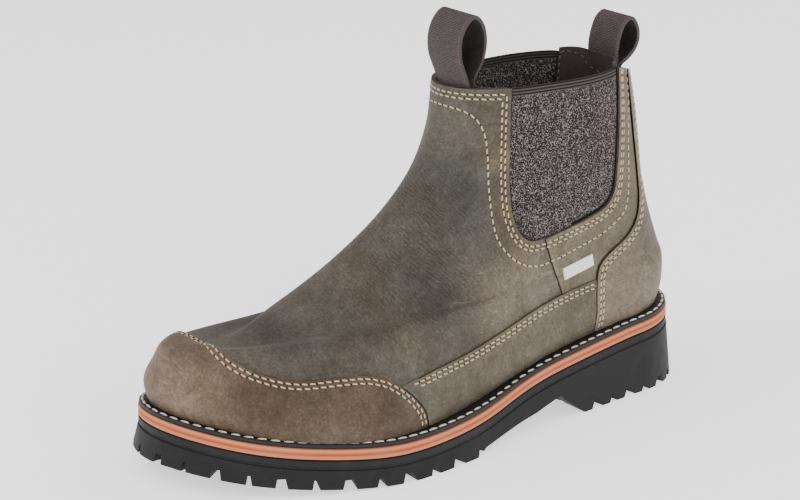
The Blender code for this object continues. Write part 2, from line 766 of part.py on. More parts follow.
def make_gore(side, finish, parts, cutters):
    low, high = side_reach(side)
    made = skin(side + "_gore", -GORE_SINK, GORE_THICKNESS, finish, parts)
    outline = gore_outline(SEAT_GAP)
    return cut(made, side_prism(side + "_gore_shape", outline, low, high, cutters), "INTERSECT")


def make_tag(finish, parts, cutters):
    """A small flat tag sewn on under the outer gore."""
    lean = np.array([-math.cos(TAG_PLACE["tilt"]), math.sin(TAG_PLACE["tilt"])])
    rise = np.array([lean[1], -lean[0]])
    middle = np.array([TAG_PLACE["along"] * SOLE_LENGTH, TAG_PLACE["up"] * COLLAR_HEIGHT])
    outline = [
        middle + a * lean * TAG_LENGTH / 2 + b * rise * TAG_HEIGHT / 2
        for a, b in ((-1, -1), (1, -1), (1, 1), (-1, 1))
    ]
    low, high = side_reach("lateral")
    made = skin("side_tag", LAID_GAP + TAG_THICKNESS, TAG_THICKNESS, finish, parts)
    return cut(made, side_prism("tag_cutter", outline, low, high, cutters), "INTERSECT")


# Pull loops


def wall_place(end, across, up):
    """Where the upper's inner face lies along, at the front or the back, for a place and height."""
    rows = last_surface(-UPPER_WALL)[-WALL_ROWS:]
    heights = []
    places = []
    for row in rows:
        middle = row[:, 1].mean()
        near = row[(row[:, 1] - middle) * end > 0]
        near = near[np.argsort(near[:, 0])]
        places.append(np.interp(across, near[:, 0], near[:, 1]))
        heights.append(np.interp(across, near[:, 0], near[:, 2]))
    return float(np.interp(up, heights, places))


def make_loop(name, end, table, width, rise, base_up, finish, parts):
    """A webbing loop whose two legs run down inside the upper's front (end 1) or back (end -1)."""
    depth = WEBBING_THICKNESS / 2 + LOOP_CLEARANCE
    second = depth + WEBBING_THICKNESS + SEAT_GAP
    path = np.stack([column(table, "out"), column(table, "up")], 1) * rise
    walked = np.concatenate([[0], np.cumsum(np.linalg.norm(np.diff(path, axis=0), axis=1))])
    path = smooth(walked, path, np.linspace(0, walked[-1], LOOP_POINTS))
    path[:, 0] += np.linspace(0, path[0, 0] - path[-1, 0] - (second - depth), LOOP_POINTS)
    down = np.linspace(-LOOP_TAIL, 0, TAIL_POINTS, endpoint=False)
    outs = np.concatenate([np.zeros(TAIL_POINTS), path[:, 0], np.full(TAIL_POINTS, depth - second)])
    ups = np.concatenate([down, path[:, 1], down[::-1]])
    points = []
    for out, up in zip(outs, ups):
        flat = min(max(up / rise, 0), 1)
        for share in np.linspace(-0.5, 0.5, LOOP_STRIPS):
            across = share * width
            height = base_up + up
            centre = wall_place(end, 0, min(height, base_up))
            edge = wall_place(end, across, min(height, base_up))
            bow = (centre - edge) * (1 - flat) ** 2
            points.append((across, centre - bow - end * depth + end * out, height))
    faces = quads_between(len(outs), LOOP_STRIPS, closed_around=False)
    made = new_object(name, world(points), faces, finish, parts)
    strap = made.modifiers.new("webbing", "SOLIDIFY")
    strap.thickness = WEBBING_THICKNESS
    strap.offset = 0
    strap.use_even_offset = True
    return made


# The boot


def main():
    clear_scene()
    parts = new_collection("side_gore_work_boot")
    cutters = new_collection("cutters")
    cutters.hide_render = True
    leather = {
        name: material(name, colour, 0.62)
        for name, colour in (
            ("vamp_leather", (0.190, 0.155, 0.118)),
            ("cap_leather", (0.215, 0.172, 0.130)),
            ("panel_leather", (0.200, 0.162, 0.123)),
            ("counter_leather", (0.195, 0.158, 0.120)),
        )
    }
    rubber = material("black_rubber", (0.042, 0.040, 0.042), 0.75)
    tan = material("tan_midsole", (0.560, 0.260, 0.150), 0.60)
    dark = material("welt_strip", (0.030, 0.028, 0.027), 0.65)
    elastic = material("gore_elastic", (0.085, 0.075, 0.072), 0.85)
    webbing = material("loop_webbing", (0.090, 0.078, 0.076), 0.85)
    lining = material("insole_lining", (0.040, 0.036, 0.034), 0.90)
    label = material("tag_fabric", (0.780, 0.780, 0.780), 0.70)

    make_outsole(rubber, parts, cutters)
    make_midsole(tan, parts)
    make_welt(dark, parts)
    make_insole(lining, parts)
    make_upper(leather["vamp_leather"], parts, cutters)
    laid_on("toe_cap", toe_outline(0), -BALL_WIDTH, BALL_WIDTH, leather["cap_leather"], parts, cutters)
    laid_on(
        "heel_counter", counter_outline(0), -BALL_WIDTH, BALL_WIDTH, leather["counter_leather"], parts, cutters
    )
    for side in ("lateral", "medial"):
        make_side_panel(side, leather["panel_leather"], parts, cutters)
        make_gore(side, elastic, parts, cutters)
    make_tag(label, parts, cutters)
    make_loop(
        "front_pull_loop", 1, FRONT_LOOP_PATH, FRONT_LOOP_WIDTH, FRONT_LOOP_RISE,
        COLLAR_HEIGHT, webbing, parts,
    )
    make_loop(
        "back_pull_loop", -1, BACK_LOOP_PATH, BACK_LOOP_WIDTH, BACK_LOOP_RISE,
        COLLAR_HEIGHT - COLLAR_BACK_DIP, webbing, parts,
    )


main()
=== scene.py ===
"""Side gore work boot, left foot: the looks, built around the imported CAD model.

The leather is one surface worked out from the boot's own sizes. Each piece is cut from it by a
side-view outline, and each row of stitches follows a line of equal distance from such an outline.
"""

import math

import bmesh
import bpy
import numpy as np
from bpy.props import FloatProperty, FloatVectorProperty, PointerProperty
from mathutils import Matrix, Vector
from mathutils.kdtree import KDTree

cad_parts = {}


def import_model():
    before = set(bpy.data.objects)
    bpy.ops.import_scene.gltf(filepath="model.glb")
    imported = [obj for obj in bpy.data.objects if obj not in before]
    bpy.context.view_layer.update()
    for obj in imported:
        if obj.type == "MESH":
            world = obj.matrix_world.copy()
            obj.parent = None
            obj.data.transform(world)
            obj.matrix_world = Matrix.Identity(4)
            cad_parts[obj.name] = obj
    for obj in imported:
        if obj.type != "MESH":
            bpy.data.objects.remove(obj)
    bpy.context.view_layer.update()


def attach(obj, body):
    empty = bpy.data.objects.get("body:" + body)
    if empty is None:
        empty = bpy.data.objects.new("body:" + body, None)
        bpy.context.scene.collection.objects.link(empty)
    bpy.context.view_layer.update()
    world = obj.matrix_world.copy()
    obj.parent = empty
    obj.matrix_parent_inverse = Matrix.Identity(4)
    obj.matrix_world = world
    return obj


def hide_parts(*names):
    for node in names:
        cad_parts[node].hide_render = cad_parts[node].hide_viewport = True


bl_info = {
    "name": "Side gore work boot",
    "version": (1, 0, 0),
    "blender": (4, 5, 0),
    "location": "View3D > Sidebar > Boot",
    "description": "Builds the leather, stitching, elastic, webbing and sole of a side gore work boot",
    "category": "Add Mesh",
}

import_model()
BODY = "root"

# Sizes that the part's own source has too
SOLE_LENGTH = 0.301
BALL_WIDTH = 0.1130
HEEL_RISE = 0.0200
TOE_RISE = 0.0144
RUBBER_AT_BALL = 0.0130
MIDSOLE_THICKNESS = 0.0055
WELT_THICKNESS = 0.0024
WELT_INSET = 0.0006
WELT_MARGIN = 0.0132
OUTSOLE_FLARE = 0.0030
GROOVE_DEPTH = 0.0010
GROOVE_DROP = 0.0034
GROOVE_HEIGHT = 0.0014
LUG_HEIGHT = 0.0042
LUG_PITCH = 0.0157
HEEL_LUG_PITCH = 0.0121
FIRST_LUG = 0.72
LUG_DEPTH = 0.0150
WIDE_GAP = 0.0080
NARROW_GAP = 0.0054
GAP_TAPER = 0.0042
CHANNEL_WIDTH = 0.0044
HEEL_BLOCK_LENGTH = 0.0810
ARCH_LENGTH = 0.0600
ARCH_HEIGHT = 0.0125
ARCH_SLOPE = 0.0130
ARCH_CORNER = 0.0030
GROUND_LIFT = 0.80
BODY_FLARE = 0.0004
COLLAR_HEIGHT = 0.1690
COLLAR_BACK_DIP = 0.0080
COLLAR_DIP_REACH = 0.22
UPPER_WALL = 0.0024
OVERLAY_THICKNESS = 0.0012
GORE_THICKNESS = 0.0015
GORE_SINK = 0.0006
INSOLE_THICKNESS = 0.0040
INSOLE_CLEARANCE = 0.0008
SIDE_START = 0.0040
WEBBING_THICKNESS = 0.0018
FRONT_LOOP_WIDTH = 0.0250
FRONT_LOOP_RISE = 0.0340
BACK_LOOP_WIDTH = 0.0215
BACK_LOOP_RISE = 0.0280
LOOP_TAIL = 0.0180
LOOP_CLEARANCE = 0.0008
TAG_LENGTH = 0.0212
TAG_HEIGHT = 0.0058
TAG_THICKNESS = 0.0008
SEAT_GAP = 0.0003
LAID_GAP = 0.0004
CUT_PAST = 0.0040
POINTS_AROUND = 48
# Where the arch bends down, where its front slope begins and how far it runs out, as shares
ARCH_MIDDLE = {"along": 0.55, "up": 0.66}
ARCH_FRONT_UP = 0.24
ARCH_RUN_OUT = 0.40
RIM_POINTS = 720

# How fine the visible surfaces are
FINE_AROUND = 256
FINE_ROWS = 112
SOLE_AROUND = 288
LOOP_POINTS = 70
LOOP_STRIPS = 11

# The photograph's camera, worked out from the curve of the midsole's band
PHOTO_WIDTH = 800
LENS_PIXELS = 2500.2
SENSOR_WIDTH = 36.0
VIEW_AZIMUTH = 53.71
VIEW_ELEVATION = 18.08
VIEW_ROLL = 0.126
VIEW_DISTANCE = 1.2161
VIEW_TARGET = {"across": 0.00066, "along": -0.01371, "up": 0.090}



def table(names, *rows):
    """Rows of numbers, each number under its name."""
    return [dict(zip(names.split(), row)) for row in rows]


# Half widths and centre line of the sole, as shares of its length and of half the ball width
SOLE_OUTLINE = table(
    "along half centre",
    (0.00, 0.625, 0.000), (0.12, 0.640, 0.010), (0.27, 0.660, 0.080), (0.40, 0.685, 0.138),
    (0.55, 0.870, 0.155), (0.68, 1.000, 0.092), (0.83, 1.000, -0.050), (0.93, 1.000, -0.140),
    (1.00, 1.000, -0.190),
)
HEEL_ROUND = 0.12
TOE_ROUND = 0.68
TOE_POWER = 2.30

# Grooves across the tread, as shares of the sole's length, half the ball width and the ball width
TREAD_GROOVES = table(
    "along centre length slant",
    (0.10, 0.01, 0.26, 0.30), (0.17, 0.03, 0.28, -0.30),
    (0.56, 0.15, 0.40, 0.30), (0.63, 0.12, 0.48, -0.30),
    (0.70, 0.08, 0.52, 0.30), (0.77, 0.00, 0.50, -0.30),
    (0.84, -0.06, 0.44, 0.30),
)

# Height of the midsole's top above its height at the ball, as shares of the two rises
SOLE_LINE = table(
    "along heel toe",
    (0.000, 1.000, 0.00), (0.167, 0.835, 0.00), (0.333, 0.575, 0.00), (0.500, 0.120, 0.00),
    (0.667, 0.000, 0.00), (0.800, 0.000, 0.19), (0.900, 0.000, 0.50), (1.000, 0.000, 1.00),
)

# Rings of the last from the welt to the collar. Places along are shares of the sole's length,
# heights are shares of the collar's, half widths and centres are shares of half the ball width.
# Ring heights of the first three rows are measured above the welt. At the vamp a ring sags on its
# inner side and swells on its outer side, by a share**3 * (1 - share) whose peak is SAG_PEAK.
RINGS = [
    {"back": 0.024, "back_up": 0.000, "front": 0.977, "front_up": 0.000,
     "heel": 0.530, "waist": 0.585, "ball": 0.915, "mid": 0.130, "fore": 0.085, "tip": -0.200,
     "round": 0.67, "power": 2.40, "heel_round": 0.12, "on_welt": 1, "sag": 0.000, "swell": 0.000},
    {"back": 0.016, "back_up": 0.055, "front": 0.984, "front_up": 0.055,
     "heel": 0.560, "waist": 0.625, "ball": 0.930, "mid": 0.125, "fore": 0.085, "tip": -0.200,
     "round": 0.67, "power": 2.40, "heel_round": 0.12, "on_welt": 1, "sag": 0.000, "swell": 0.000},
    {"back": 0.016, "back_up": 0.130, "front": 0.974, "front_up": 0.115,
     "heel": 0.570, "waist": 0.640, "ball": 0.875, "mid": 0.100, "fore": 0.080, "tip": -0.190,
     "round": 0.66, "power": 2.20, "heel_round": 0.12, "on_welt": 1, "sag": 0.000, "swell": 0.000},
    {"back": 0.025, "back_up": 0.420, "front": 0.950, "front_up": 0.381,
     "heel": 0.560, "waist": 0.640, "ball": 0.710, "mid": 0.075, "fore": 0.060, "tip": -0.160,
     "round": 0.58, "power": 2.10, "heel_round": 0.13, "on_welt": 0, "sag": 0.036, "swell": 0.000},
    {"back": 0.035, "back_up": 0.475, "front": 0.880, "front_up": 0.361,
     "heel": 0.550, "waist": 0.630, "ball": 0.625, "mid": 0.050, "fore": 0.055, "tip": -0.070,
     "round": 0.51, "power": 1.45, "heel_round": 0.15, "on_welt": 0, "sag": 0.020, "swell": 0.014},
    {"back": 0.046, "back_up": 0.535, "front": 0.790, "front_up": 0.418,
     "heel": 0.535, "waist": 0.625, "ball": 0.620, "mid": 0.030, "fore": 0.045, "tip": -0.060,
     "round": 0.48, "power": 1.28, "heel_round": 0.17, "on_welt": 0, "sag": 0.000, "swell": 0.012},
    {"back": 0.056, "back_up": 0.595, "front": 0.685, "front_up": 0.503,
     "heel": 0.520, "waist": 0.615, "ball": 0.610, "mid": 0.015, "fore": 0.030, "tip": -0.040,
     "round": 0.52, "power": 1.38, "heel_round": 0.19, "on_welt": 0, "sag": 0.000, "swell": 0.004},
    {"back": 0.065, "back_up": 0.665, "front": 0.585, "front_up": 0.613,
     "heel": 0.500, "waist": 0.600, "ball": 0.585, "mid": 0.010, "fore": 0.015, "tip": -0.020,
     "round": 0.55, "power": 1.60, "heel_round": 0.22, "on_welt": 0, "sag": 0.000, "swell": 0.000},
    {"back": 0.070, "back_up": 0.735, "front": 0.515, "front_up": 0.728,
     "heel": 0.485, "waist": 0.585, "ball": 0.555, "mid": 0.000, "fore": 0.000, "tip": -0.010,
     "round": 0.60, "power": 1.85, "heel_round": 0.25, "on_welt": 0, "sag": 0.000, "swell": 0.000},
    {"back": 0.078, "back_up": 0.850, "front": 0.477, "front_up": 0.860,
     "heel": 0.470, "waist": 0.565, "ball": 0.525, "mid": 0.000, "fore": 0.000, "tip": 0.000,
     "round": 0.64, "power": 2.00, "heel_round": 0.29, "on_welt": 0, "sag": 0.000, "swell": 0.000},
    {"back": 0.092, "back_up": 1.000, "front": 0.464, "front_up": 1.000,
     "heel": 0.455, "waist": 0.545, "ball": 0.510, "mid": 0.000, "fore": 0.000, "tip": 0.000,
     "round": 0.66, "power": 2.00, "heel_round": 0.32, "on_welt": 0, "sag": 0.000, "swell": 0.000},
]

SAG_PEAK = 27 / 256


# Shape functions


def column(rows, name):
    return np.array([row[name] for row in rows], float)


def smooth(xs, ys, x):
    """A smooth curve through the points. Each entry of ys may be a number or an array."""
    xs = np.asarray(xs, float)
    ys = np.asarray(ys, float)
    x = np.clip(np.asarray(x, float), xs[0], xs[-1])
    shape = (-1,) + (1,) * (ys.ndim - 1)
    slopes = np.diff(ys, axis=0) / np.diff(xs).reshape(shape)
    ends = np.concatenate([slopes[:1], (slopes[:-1] + slopes[1:]) / 2, slopes[-1:]])
    i = np.clip(np.searchsorted(xs, x, side="right") - 1, 0, len(xs) - 2)
    step = (xs[i + 1] - xs[i]).reshape(shape)
    t = (x - xs[i]).reshape(shape) / step
    first = (1 + 2 * t) * (1 - t) ** 2 * ys[i] + t * (1 - t) ** 2 * step * ends[i]
    second = t * t * (3 - 2 * t) * ys[i + 1] - t * t * (1 - t) * step * ends[i + 1]
    return first + second


def midsole_top(along):
    """Height of the midsole's top at a share of the sole's length."""
    places = column(SOLE_LINE, "along")
    heel = smooth(places, column(SOLE_LINE, "heel"), along)
    toe = smooth(places, column(SOLE_LINE, "toe"), along)
    return RUBBER_AT_BALL + MIDSOLE_THICKNESS + HEEL_RISE * heel + TOE_RISE * toe


def end_rounding(share, start, end, power):
    """Falls from 1 at start to 0 at end, as the end of an ellipse does."""
    reach = np.clip((share - start) / (end - start), 0, 1)
    return np.sqrt(np.clip(1 - reach**power, 0, 1))


def shares_around(count):
    """Shares from back to front and back again, with the side they lie on, close at both ends."""
    angle = 2 * math.pi * np.arange(count) / count
    return (1 - np.cos(angle)) / 2, np.where(np.sin(angle) >= 0, 1.0, -1.0)


def sole_ring(inset, count=POINTS_AROUND):
    """Points across and along of the sole's outline, moved in by the inset."""
    along, side = shares_around(count)
    places = column(SOLE_OUTLINE, "along")
    half = smooth(places, column(SOLE_OUTLINE, "half"), along)
    half = half * end_rounding(along, TOE_ROUND, 1, TOE_POWER)
    half = half * end_rounding(-along, -HEEL_ROUND, 0, 2)
    centre = smooth(places, column(SOLE_OUTLINE, "centre"), along)
    across = (centre + side * half) * BALL_WIDTH / 2
    points = np.stack([across, along * SOLE_LENGTH], 1)
    return points - inset * outward(points)


def outward(points):
    """Unit vectors that point out of a closed plan outline."""
    chord = np.roll(points, -1, 0) - np.roll(points, 1, 0)
    normal = np.stack([-chord[:, 1], chord[:, 0]], 1)
    normal /= np.linalg.norm(normal, axis=1)[:, None]
    middle = points.mean(0)
    if ((points - middle) * normal).sum() < 0:
        normal = -normal
    return normal


def ring_points(row, count=POINTS_AROUND):
    """One ring of the last: across, along and up for each point around."""
    share, side = shares_around(count)
    back = row["back"] * SOLE_LENGTH
    front = row["front"] * SOLE_LENGTH
    along = back + share * (front - back)
    stations = [0.0, 0.13, 0.42, 0.72, 1.0]
    widths = [row["heel"], row["heel"], row["waist"], row["ball"], row["ball"]]
    half = smooth(stations, widths, share)
    half = half * end_rounding(share, row["round"], 1, row["power"])
    half = half * end_rounding(-share, -row["heel_round"], 0, 2)
    centre = smooth(stations, [0.0, 0.0, row["mid"], row["fore"], row["tip"]], share)
    across = (centre + side * half) * BALL_WIDTH / 2
    up = row["back_up"] + share * (row["front_up"] - row["back_up"])
    lift = np.where(side > 0, row["swell"], -row["sag"])
    up = (up + lift * share**3 * (1 - share) / SAG_PEAK) * COLLAR_HEIGHT
    up = up + row["on_welt"] * (midsole_top(along / SOLE_LENGTH) + WELT_THICKNESS + SEAT_GAP)
    return np.stack([across, along, up], 1)


# Edges of the laid-on pieces in side view, as shares of the sole's length and the collar's height
TOE_CAP_EDGE = table(
    "along up",
    (0.618, -0.050), (0.620, 0.100), (0.630, 0.170), (0.648, 0.217), (0.668, 0.254),
    (0.692, 0.285), (0.725, 0.305), (0.775, 0.310), (0.830, 0.310), (0.872, 0.330), (0.902, 0.362),
    (0.915, 0.400), (0.916, 0.700),
)
SIDE_PANEL_EDGE = table(
    "along up",
    (0.700, 0.247), (0.656, 0.263), (0.597, 0.277), (0.518, 0.292), (0.443, 0.318), (0.354, 0.358),
    (0.264, 0.380), (0.180, 0.388),
)
COUNTER_EDGE = table(
    "along up",
    (0.221, -0.050), (0.220, 0.270), (0.222, 0.378), (0.215, 0.422), (0.190, 0.453),
    (0.150, 0.487), (0.118, 0.530), (0.104, 0.580), (0.101, 0.660), (0.109, 0.761), (0.115, 0.858),
    (0.120, 1.100),
)
GORE_EDGE = table(
    "along up",
    (0.386, 1.100), (0.388, 0.966), (0.391, 0.846), (0.397, 0.701), (0.398, 0.640), (0.391, 0.590),
    (0.375, 0.559), (0.355, 0.551), (0.291, 0.564), (0.236, 0.579), (0.196, 0.598), (0.176, 0.634),
    (0.168, 0.705), (0.161, 0.828), (0.155, 0.960), (0.152, 1.100),
)
TAG_PLACE = {"along": 0.266, "up": 0.440, "tilt": 0.138}

# Corners past the leather that close the outlines of the laid-on pieces, as the same shares
TOE_CAP_CLOSE = table("along up", (1.10, 0.70), (1.10, -0.05))
SIDE_PANEL_CLOSE = table("along up", (0.18, -0.05), (0.70, -0.05))
COUNTER_CLOSE = table("along up", (-0.10, 1.10), (-0.10, -0.05))
QUARTER_CLOSE = table("along up", (-0.10, 0.31), (-0.10, 1.20), (0.28, 1.20))
SINGLE_ROW_CLOSE = table("along up", (0.118, 1.30), (0.560, 1.30))

# The loops from the leg at the wall, over the top, to the free leg, as shares of the loop's rise
FRONT_LOOP_PATH = table(
    "out up",
    (0.00, 0.00), (0.03, 0.16), (0.08, 0.42), (0.04, 0.72), (-0.08, 0.92), (-0.22, 1.00),
    (-0.34, 0.90), (-0.40, 0.66), (-0.32, 0.36), (-0.14, 0.12), (-0.09, 0.00),
)
BACK_LOOP_PATH = table(
    "out up",
    (0.00, 0.00), (-0.03, 0.15), (0.16, 0.30), (0.27, 0.42), (0.33, 0.60), (0.28, 0.84),
    (0.14, 1.00), (-0.02, 0.92), (-0.12, 0.72), (-0.16, 0.46), (-0.12, 0.16), (-0.10, 0.00),
)

# The outsole's widest ring centres the boot on its origin
WIDEST = sole_ring(-OUTSOLE_FLARE)
MID_ACROSS = (WIDEST[:, 0].max() + WIDEST[:, 0].min()) / 2
MID_ALONG = (WIDEST[:, 1].max() + WIDEST[:, 1].min()) / 2


def world(points):
    """Turns across, along and up into X, Y and Z."""
    points = np.asarray(points, float)
    return np.stack(
        [points[..., 0] - MID_ACROSS, MID_ALONG - points[..., 1], points[..., 2]], -1
    )


def distances_along(points):
    """How far each point of a line lies from its start, along the line."""
    return np.concatenate([[0], np.cumsum(np.linalg.norm(np.diff(points, axis=0), axis=1))])


def edge_path(edge, steps=3):
    """Points along and up of a smooth edge through the rows of a table, in metres."""
    rows = np.stack([column(edge, "along") * SOLE_LENGTH, column(edge, "up") * COLLAR_HEIGHT], 1)
    walked = distances_along(rows)
    places = np.concatenate(
        [np.linspace(a, b, steps, endpoint=False) for a, b in zip(walked, walked[1:])] + [walked[-1:]]
    )
    return smooth(walked, rows, places)


def moved_edge(path, distance):
    """The edge moved to its left by the distance."""
    chord = np.gradient(path, axis=0)
    chord /= np.linalg.norm(chord, axis=1)[:, None]
    return path + distance * np.stack([-chord[:, 1], chord[:, 0]], 1)


# The single row of stitches around the gore, in side view
SINGLE_ROW_EDGE = table(
    "along up",
    (0.560, 0.938), (0.468, 0.946), (0.446, 0.928), (0.434, 0.898), (0.428, 0.845), (0.432, 0.710),
    (0.434, 0.634), (0.431, 0.573), (0.412, 0.522), (0.381, 0.486), (0.348, 0.475), (0.316, 0.482),
    (0.257, 0.499), (0.211, 0.515), (0.173, 0.541), (0.149, 0.570), (0.138, 0.615), (0.133, 0.766),
    (0.124, 0.877), (0.118, 1.100),
)
# The seam between vamp and quarter, under the gore
QUARTER_EDGE = table(
    "along up",
    (0.345, 0.600), (0.338, 0.548), (0.325, 0.478), (0.303, 0.374), (0.290, 0.310),
)

# Places where the leather is lighter or darker, in stops of light (partly painted highlight and shade,
# partly its own tone), and cooler (above 0) or warmer (below 0)
LIGHT_AND_TONE_SPOTS = table(
    "along up side reach light cool",
    (0.98, 0.28, -0.1, 0.080, 1.00, -0.1),
    (0.88, 0.26, 0.6, 0.060, -0.15, -0.3),
    (0.74, 0.22, 1.0, 0.060, 0.05, -0.3),
    (0.66, 0.23, 1.0, 0.040, -0.05, 0.8),
    (0.81, 0.39, 0.3, 0.035, -0.55, 0.5),
    (0.70, 0.42, 0.5, 0.060, -0.25, 0.1),
    (0.58, 0.47, 0.6, 0.050, -0.30, 0.5),
    (0.53, 0.44, 0.7, 0.045, -0.35, 0.4),
    (0.64, 0.35, 0.9, 0.055, 0.55, -0.1),
    (0.45, 0.41, 0.8, 0.065, 1.05, -0.1),
    (0.36, 0.44, 0.7, 0.050, 0.80, -0.2),
    (0.66, 0.52, 0.1, 0.050, 0.05, -0.5),
    (0.54, 0.65, 0.2, 0.050, -0.05, 0.0),
    (0.47, 0.64, 0.5, 0.050, -0.15, 0.7),
    (0.47, 0.75, 0.4, 0.040, -0.25, 0.9),
    (0.48, 0.88, 0.2, 0.050, 0.25, 0.1),
    (0.41, 0.80, 0.6, 0.026, 0.30, -1.4),
    (0.41, 0.66, 0.6, 0.026, 0.30, -1.4),
    (0.39, 0.53, 0.7, 0.026, 0.35, -1.4),
    (0.19, 0.31, 0.6, 0.025, -0.20, 0.0),
    (0.10, 0.47, 0.5, 0.060, -0.55, 0.0),
)

# Where the ankle's bend wrinkles the leather, as shares, and how deeply
BEND_SPOTS = table(
    "along up reach depth",
    (0.52, 0.66, 0.07, 0.8), (0.56, 0.50, 0.08, 1.0),
    (0.64, 0.42, 0.06, 0.5),
)
# Rows of stitches from the edges of the laid-on pieces and of the gore
STITCH_ROWS = (0.0018, 0.0039)
GORE_ROWS = (0.0026, 0.0047)
# How far rows of stitches stay clear of the welt, the toe cap and the counter
WELT_CLEARANCE = 0.0015
CAP_CLEARANCE = 0.0008
COUNTER_CLEARANCE = 0.0012
GORE_ROW_CLEARANCE = 0.0008
SINGLE_ROW_CLEARANCE = 0.0006
# How far into the back quarter the rows on it rise to its face
QUARTER_FADE = 0.0008
# Heights above which the rows around the elastic are sewn, and where its front part starts
GORE_ROW_HEIGHT = 0.06
SINGLE_ROW_HEIGHT = 0.05
GORE_FRONT_SHARE = 0.30
# The dark cord that paints the shadow in the seam under the elastic
SEAM_CORD_RADIUS = 0.00045
SEAM_CORD_STEP = 0.0008
SEAM_CORD_TOP_SHARE = 0.6
SEAM_CORD_OFFSET = 0.0003
SEAM_CORD_LIFT = 0.0001
SEAM_CORD_CLEARANCE = 0.0002
# How far the back quarter reaches under the gore's edge and into the leather below it
QUARTER_OVERLAP = 0.0002
QUARTER_SINK = 0.0004

# The cut edges of the leather: how far they are worn, how far they are rounded and by how much, how
# near to the outer face a point counts as on it, and how squarely a face looks out or in
EDGE_WEAR = 0.0025
EDGE_ROUND = 0.0009
EDGE_DROP = 0.0005
QUARTER_EDGE_DROP = 0.0003
SAME_FACE = 0.0004
FACING = 0.45

# The elastic's back edge sinks and is painted with shadow, and its other edges get a little painted shade
GORE_EDGE_SINK = 0.0008
GORE_EDGE_SHADE = 1.6
GORE_RIM_SHADE = 1.3
GORE_RIM_REACH = 0.0007
GORE_RIM_DARKNESS = 0.6

# The collar's linings: how far they reach down, how they clear the loops' legs, how the back one's
# rim rises from its front end, and how far its stitches lie from its edges
LINING_GAP = 0.0001
BACK_LINING_DROP = 0.060
FRONT_LINING_DROP = 0.045
LEG_SIDE_CLEARANCE = 0.001
LEG_SIDE_REACH = 0.010
LEG_END_CLEARANCE = 0.002
LEG_END_REACH = 0.016
RIM_REACH = 0.010
ROLL_REACH = 0.016
LINING_DIP_SHARE = 0.80
LINING_ROW = 0.0016
RIM_ROW = 0.0006
LINING_ROW_ABOVE = 0.004

# How a stitch slants, and how much wider than its thread a needle hole is
STITCH_TILT = 0.12
WELT_STITCH_TILT = 0.05
HOLE_GIRTH = 1.35
# How the edges of the insole and the outsole are rounded, and how far the groove's dust and painted
# highlight reach
INSOLE_EDGE = 0.0008
OUTSOLE_EDGE = 0.0004
GROOVE_DUST_AND_HIGHLIGHT = 0.0004
# The midsole's edge: insets, and heights as shares of its thickness
MIDSOLE_EDGE = (
    (0.0007, 0.0), (0.0002, 0.06), (0.0, 0.16), (0.0001, 0.5), (0.0, 0.84), (0.0002, 0.94), (0.0007, 1.0)
)
LOOP_TAIL_STEPS = 8
# Corners of a square around the middle
SQUARE = ((-1, -1), (1, -1), (1, 1), (-1, 1))


def settings():
    return bpy.context.scene.boot_sizes


def colours():
    return bpy.context.scene.boot_colours


# Shader helpers


class Value:
    """A number that a material works out, on which Python's operators can work."""

    def __init__(self, finish, socket):
        self.finish = finish
        self.socket = socket

    def _math(self, operation, *values):
        inputs = dict(enumerate(values))
        return self.finish.value("ShaderNodeMath", {"operation": operation}, inputs)

    def __add__(self, other):
        return self._math("ADD", self, other)

    def __radd__(self, other):
        return self._math("ADD", other, self)

    def __sub__(self, other):
        return self._math("SUBTRACT", self, other)

    def __rsub__(self, other):
        return self._math("SUBTRACT", other, self)

    def __mul__(self, other):
        return self._math("MULTIPLY", self, other)

    def __rmul__(self, other):
        return self._math("MULTIPLY", other, self)

    def step(self, low, high):
        """Rises smoothly from 0 at low to 1 at high."""
        return self.finish.value(
            "ShaderNodeMapRange",
            {"interpolation_type": "SMOOTHSTEP", "clamp": True},
            {0: self, 1: low, 2: high},
        )

    def sine(self):
        return self._math("SINE", self)


LOOK = "look_"


